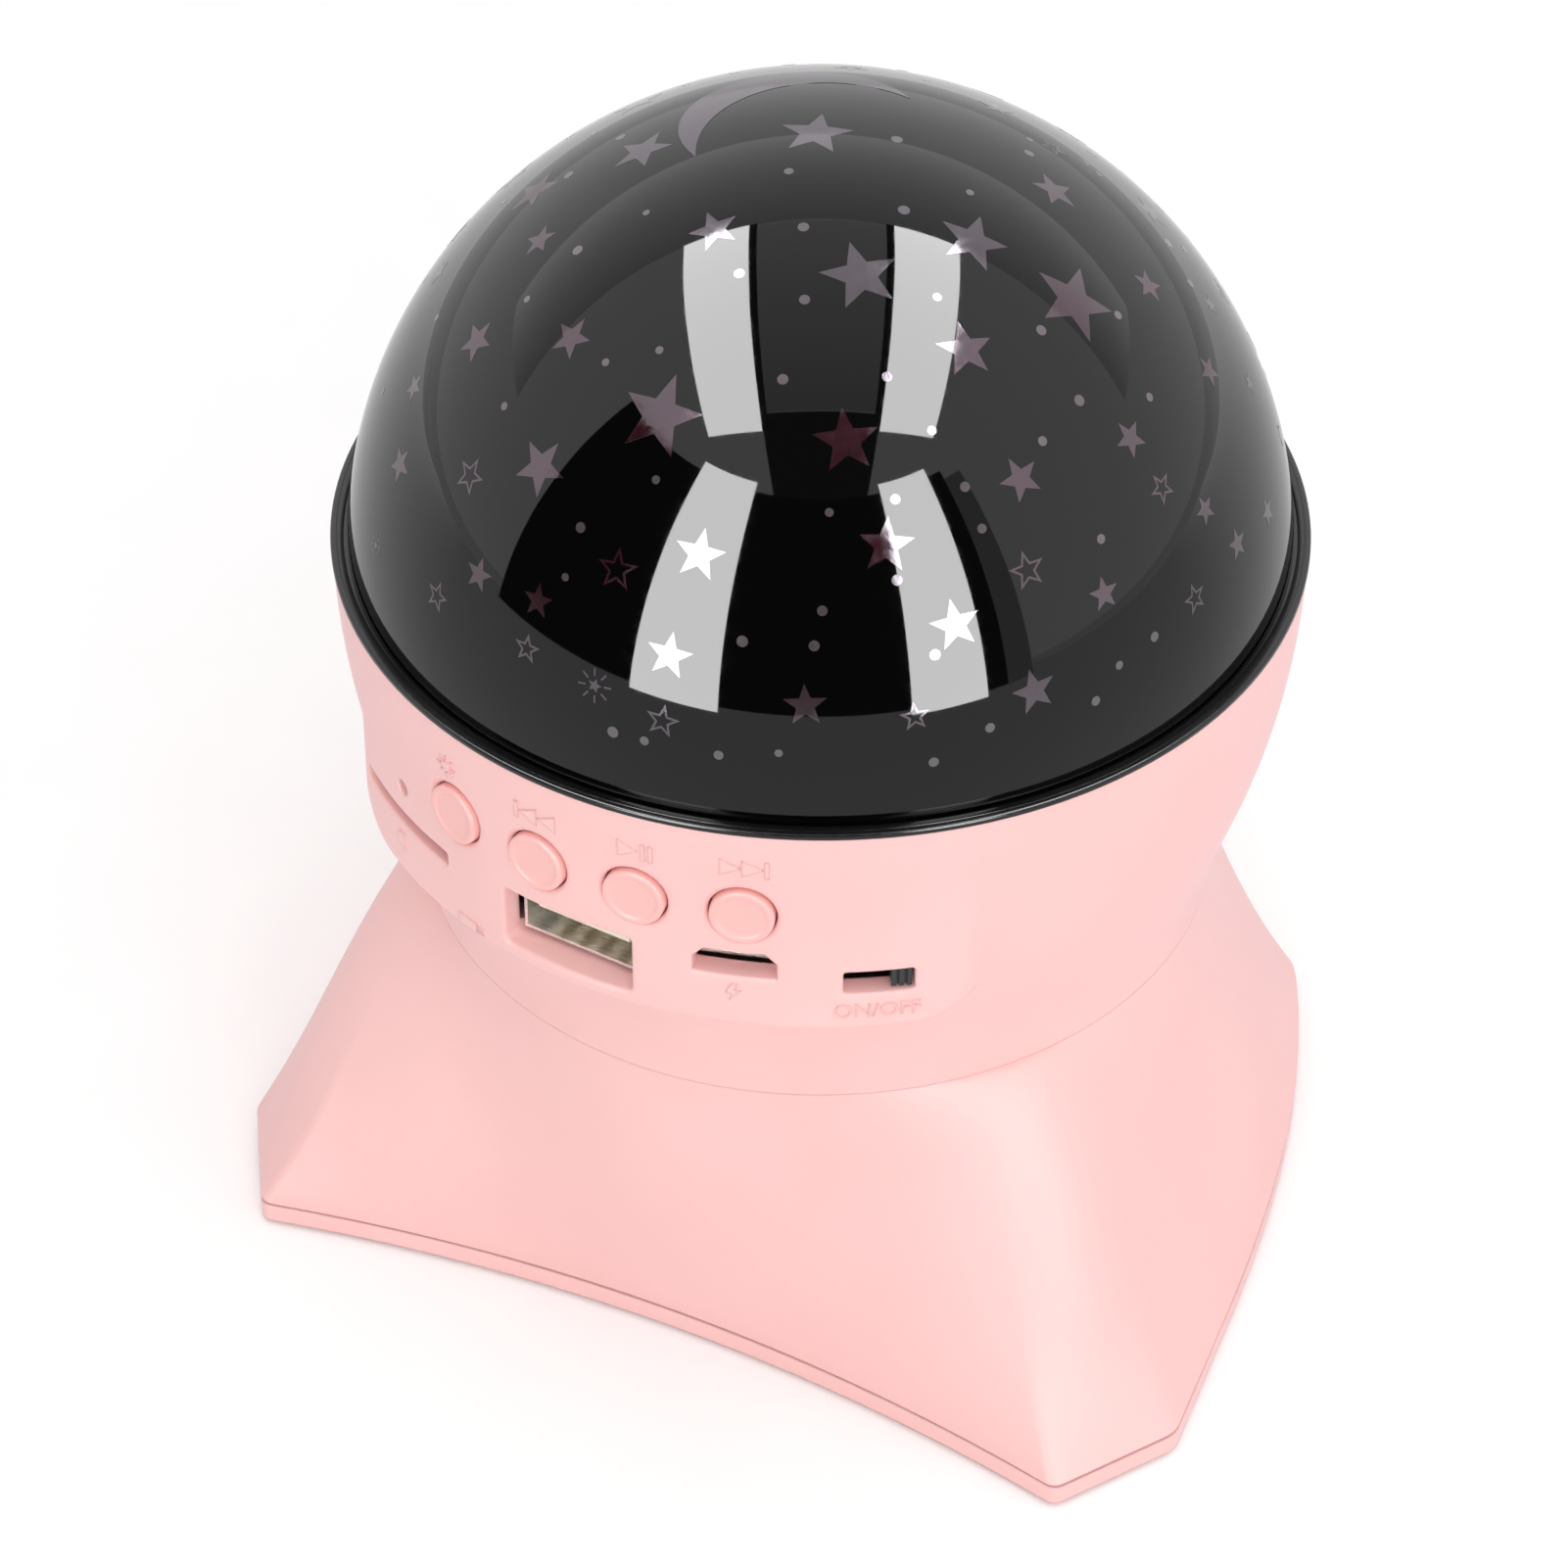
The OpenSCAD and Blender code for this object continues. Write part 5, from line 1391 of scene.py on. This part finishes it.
# %% Cut the holes
DC_CORNERS = [(4.2, 0.35), (3.0, 1.55), (-3.0, 1.55), (-4.2, 0.35), (-4.2, -1.55), (4.2, -1.55)]
cutters = [cutter(turn, BUTTON_Z, disc(3.45, 48), lip=0.5) for turn in BUTTON_TURNS]
cutters += [
    cutter(USB_TURN, USB_Z, slot(14.8, 7.1, corner=0.7), lip=0.45, draft=0.4),
    cutter(DC_TURN, DC_Z, filled([Vector(point) for point in DC_CORNERS]), lip=0.3, draft=0.1),
    cutter(CARD_TURN, CARD_Z, slot(16.5, 1.7, corner=0.4), lip=0.25),
    cutter(SWITCH_TURN, SWITCH_Z, slot(7.1, 2.8, corner=0.4), lip=0.3),
    cutter(LAMP_HOLE_TURN, LAMP_HOLE_Z, disc(0.9, 24), lip=0.2),
]
holes = join(cutters, "panel_cutters")
apply(housing, "BOOLEAN", operation="DIFFERENCE", object=holes, solver="EXACT")
put_down()
holes.select_set(True)
bpy.ops.object.delete()
print("after the cuts the bowl has", len(housing.data.polygons), "faces")

# %% Pillars inside the bowl
PILLAR_FOOT = NECK_Z + WALL - 0.5
BOARD_FOOT = RING_Z - 16.9
DECK_FOOT = RING_Z - 5.2
DECK_PILLAR_R = 40.9
NECK_BOSS_TOP = NECK_Z + WALL + 8
NECK_BOSS = (NECK_R - 10) / math.sqrt(2)
pieces = [housing]
for x, y in ((-25.9, -12), (25.9, -12), (0, -22)):
    pieces.append(post("board_pillar", x, y, PILLAR_FOOT, BOARD_FOOT))
for turn in (math.radians(70), math.radians(180), math.radians(290)):
    x, y = DECK_PILLAR_R * math.sin(turn), -DECK_PILLAR_R * math.cos(turn)
    pieces.append(post("deck_pillar", x, y, PANEL_FOOT, DECK_FOOT))
for sx, sy in ((-1, -1), (1, -1), (-1, 1), (1, 1)):
    pieces.append(post("neck_boss", sx * NECK_BOSS, sy * NECK_BOSS, PILLAR_FOOT, NECK_BOSS_TOP))
housing = join(pieces, "housing_shell")
dress(housing, "lamp_base", "pink_shell", smooth=32)
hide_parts("upper_housing")

# %% [markdown]
# ## Buttons
#
# A button is a turned cap. Its top is a thin raised rim round a flat disc that lies a little
# lower. Behind the wall it has a flange, so that it can't fall out, and a stem that reaches the
# switch. One section is spun four times, and each cap is turned to its place on the panel.

# %% Pink of the caps
cap_pink = Finish("button_pink_plastic", Roughness=0.4, IOR=1.46, Sheen_Weight=0.1, Sheen_Roughness=0.4)
cap_pink.wander(cap_pink.noise(60, 3), (0.93, 0.49, 0.46), (0.945, 0.515, 0.485))
cap_grain = cap_pink.noise(2600, 2, 0.6)
cap_pink.set("Roughness", cap_pink.spread(cap_grain, 0.34, 0.46))
cap_pink.relief(cap_grain, 0.02, 0.3)

# %% Button caps
CAP_R = 3.25
CAP_TOP = PANEL_R + 0.42
CAP_ROUND = 0.32
CAP_DISH = 0.17
CAP_STEPS = 64
STEM_R = 1.7
STEM_END = 43.0
FLANGE_R = 4.2
FLANGE_TOP = 46.6
FLANGE_FOOT = FLANGE_TOP - 0.9

stem = [(0, STEM_END), (STEM_R, STEM_END), (STEM_R, FLANGE_FOOT), (FLANGE_R, FLANGE_FOOT),
        (FLANGE_R, FLANGE_TOP), (CAP_R, FLANGE_TOP)]
shoulder = arc(CAP_R - CAP_ROUND, CAP_TOP - CAP_ROUND, CAP_ROUND, 0, 90, 6)
dish = [(CAP_R - 0.55, CAP_TOP), (CAP_R - 0.68, CAP_TOP - 0.04), (CAP_R - 0.78, CAP_TOP - 0.12),
        (CAP_R - 0.9, CAP_TOP - 0.16), (CAP_R - 1.3, CAP_TOP - CAP_DISH), (0, CAP_TOP - CAP_DISH)]
cap_section = stem + shoulder + dish


def face_panel(piece, azimuth, height):
    """Turns a piece drawn round the Z axis so that Z points out of the panel."""
    turn = math.radians(azimuth)
    out = Vector((math.sin(turn), -math.cos(turn), 0))
    side = Vector((math.cos(turn), math.sin(turn), 0))
    for vertex in piece.data.vertices:
        x, y, z = vertex.co
        vertex.co = side * x + out * z + Vector((0, 0, y + height * MM))


for key, turn in zip(("led", "previous", "play", "next"), BUTTON_TURNS):
    cap = turned(key + "_cap", cap_section, CAP_STEPS, closed=False)
    face_panel(cap, turn, BUTTON_Z)
    dress(cap, key + "_key", "pink_shell", cap_pink, smooth=40)
    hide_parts(key + "_button")

# %% [markdown]
# ## Raised signs
#
# Low signs stand on the panel beside the keys. Each is drawn flat in millimetres, wrapped round
# the panel and made solid. They are the common ones: a lamp, skip back, play and pause, skip on,
# a plug, a flash for charging, a card, and the words on and off.

# %% Flat shapes wrapped round the panel
SIGN_HEIGHT = 0.16
SIGN_ROOT = 0.1


def flat_shape(points):
    """A flat face from its corners in millimetres."""
    put_down()
    bpy.ops.mesh.primitive_circle_add(vertices=len(points), radius=1, fill_type="NGON")
    piece = bpy.context.object
    for vertex, (x, y) in zip(piece.data.vertices, points):
        vertex.co = (x, y, 0)
    return piece


def wrap(piece, azimuth, height):
    """Wraps a flat piece round the panel and gives it its thickness."""
    for vertex in piece.data.vertices:
        turn = math.radians(azimuth) + vertex.co.x / PANEL_R
        z = height + vertex.co.y
        radius = skin_radius(turn, z) + SIGN_HEIGHT
        vertex.co = Vector((radius * math.sin(turn), -radius * math.cos(turn), z)) * MM
    facing = sum(face.normal.dot(face.center * Vector((1, 1, 0))) for face in piece.data.polygons)
    if facing < 0:
        edit(piece)
        bpy.ops.mesh.flip_normals()
        put_down()
    apply(piece, "SOLIDIFY", thickness=(SIGN_HEIGHT + SIGN_ROOT) * MM, offset=-1)


# %% Strokes of the signs
ARROW = 1.05
BAR_W = 0.45
BAR_H = 2.1


def bar(x, y=0, width=BAR_W, height=BAR_H):
    """An upright bar, or a bar of any other size, round its middle."""
    return [(x + sx * width / 2, y + sy * height / 2) for sx, sy in ((-1, -1), (1, -1), (1, 1), (-1, 1))]


def arrow(x, way):
    """A triangle that points left, where way is -1, or right."""
    return [(x - way * ARROW, ARROW), (x - way * ARROW, -ARROW), (x + way * ARROW, 0)]


def rays_round(count, radius, length, width):
    """Short strokes round a middle."""
    strokes = []
    for k in range(count):
        turn = 2 * math.pi * k / count
        along = Vector((math.cos(turn), math.sin(turn)))
        across = Vector((-along.y, along.x)) * width / 2
        near, far = along * radius, along * (radius + length)
        strokes.append([near - across, far - across, far + across, near + across])
    return strokes


# %% Signs
SIGNS = [
    (-21.5, RING_Z - 4.6, [disc(0.62, 14)] + rays_round(8, 0.85, 0.5, 0.22)),
    (-7.6, RING_Z - 4.5, [bar(-2.4), arrow(-1.0, -1), arrow(1.2, -1)]),
    (4.9, RING_Z - 4.4, [arrow(-0.65, 1), bar(0.95), bar(1.75)]),
    (17.5, RING_Z - 4.2, [arrow(-1.2, 1), arrow(1.0, 1), bar(2.4)]),
    (-18.6, RING_Z - 24.1, [bar(-0.5, 0, 2.6, 1.5), bar(1.3, 0.3, 0.9, 0.24), bar(1.3, -0.3, 0.9, 0.24)]),
    (16.3, RING_Z - 20.6, [[(-0.2, 1.1), (-0.8, -0.15), (-0.1, -0.15), (-0.4, -1.1), (0.8, 0.25),
                            (0.1, 0.25), (0.5, 1.1)]]),
    (CARD_TURN, RING_Z - 20.6, [[(-0.8, -1.0), (0.8, -1.0), (0.8, 1.0), (-0.3, 1.0), (-0.8, 0.5)]]),
]
parts = []
for azimuth, height, shapes in SIGNS:
    for points in shapes:
        part = flat_shape(points)
        wrap(part, azimuth, height)
        parts.append(part)

# %% Words of the switch
WORDS_SIZE = 2.4
WORDS_TURN = 32.8
WORDS_Z = RING_Z - 22.6
put_down()
bpy.ops.object.text_add()
words = bpy.context.object
words.data.body = "ON/OFF"
words.data.size = WORDS_SIZE
words.data.align_x = "CENTER"
words.data.align_y = "CENTER"
bpy.ops.object.convert(target="MESH")
words = bpy.context.object
wrap(words, WORDS_TURN, WORDS_Z)
parts.append(words)
signs = join(parts, "panel_signs")
dress(signs, "lamp_base", "pink_shell", smooth=30)
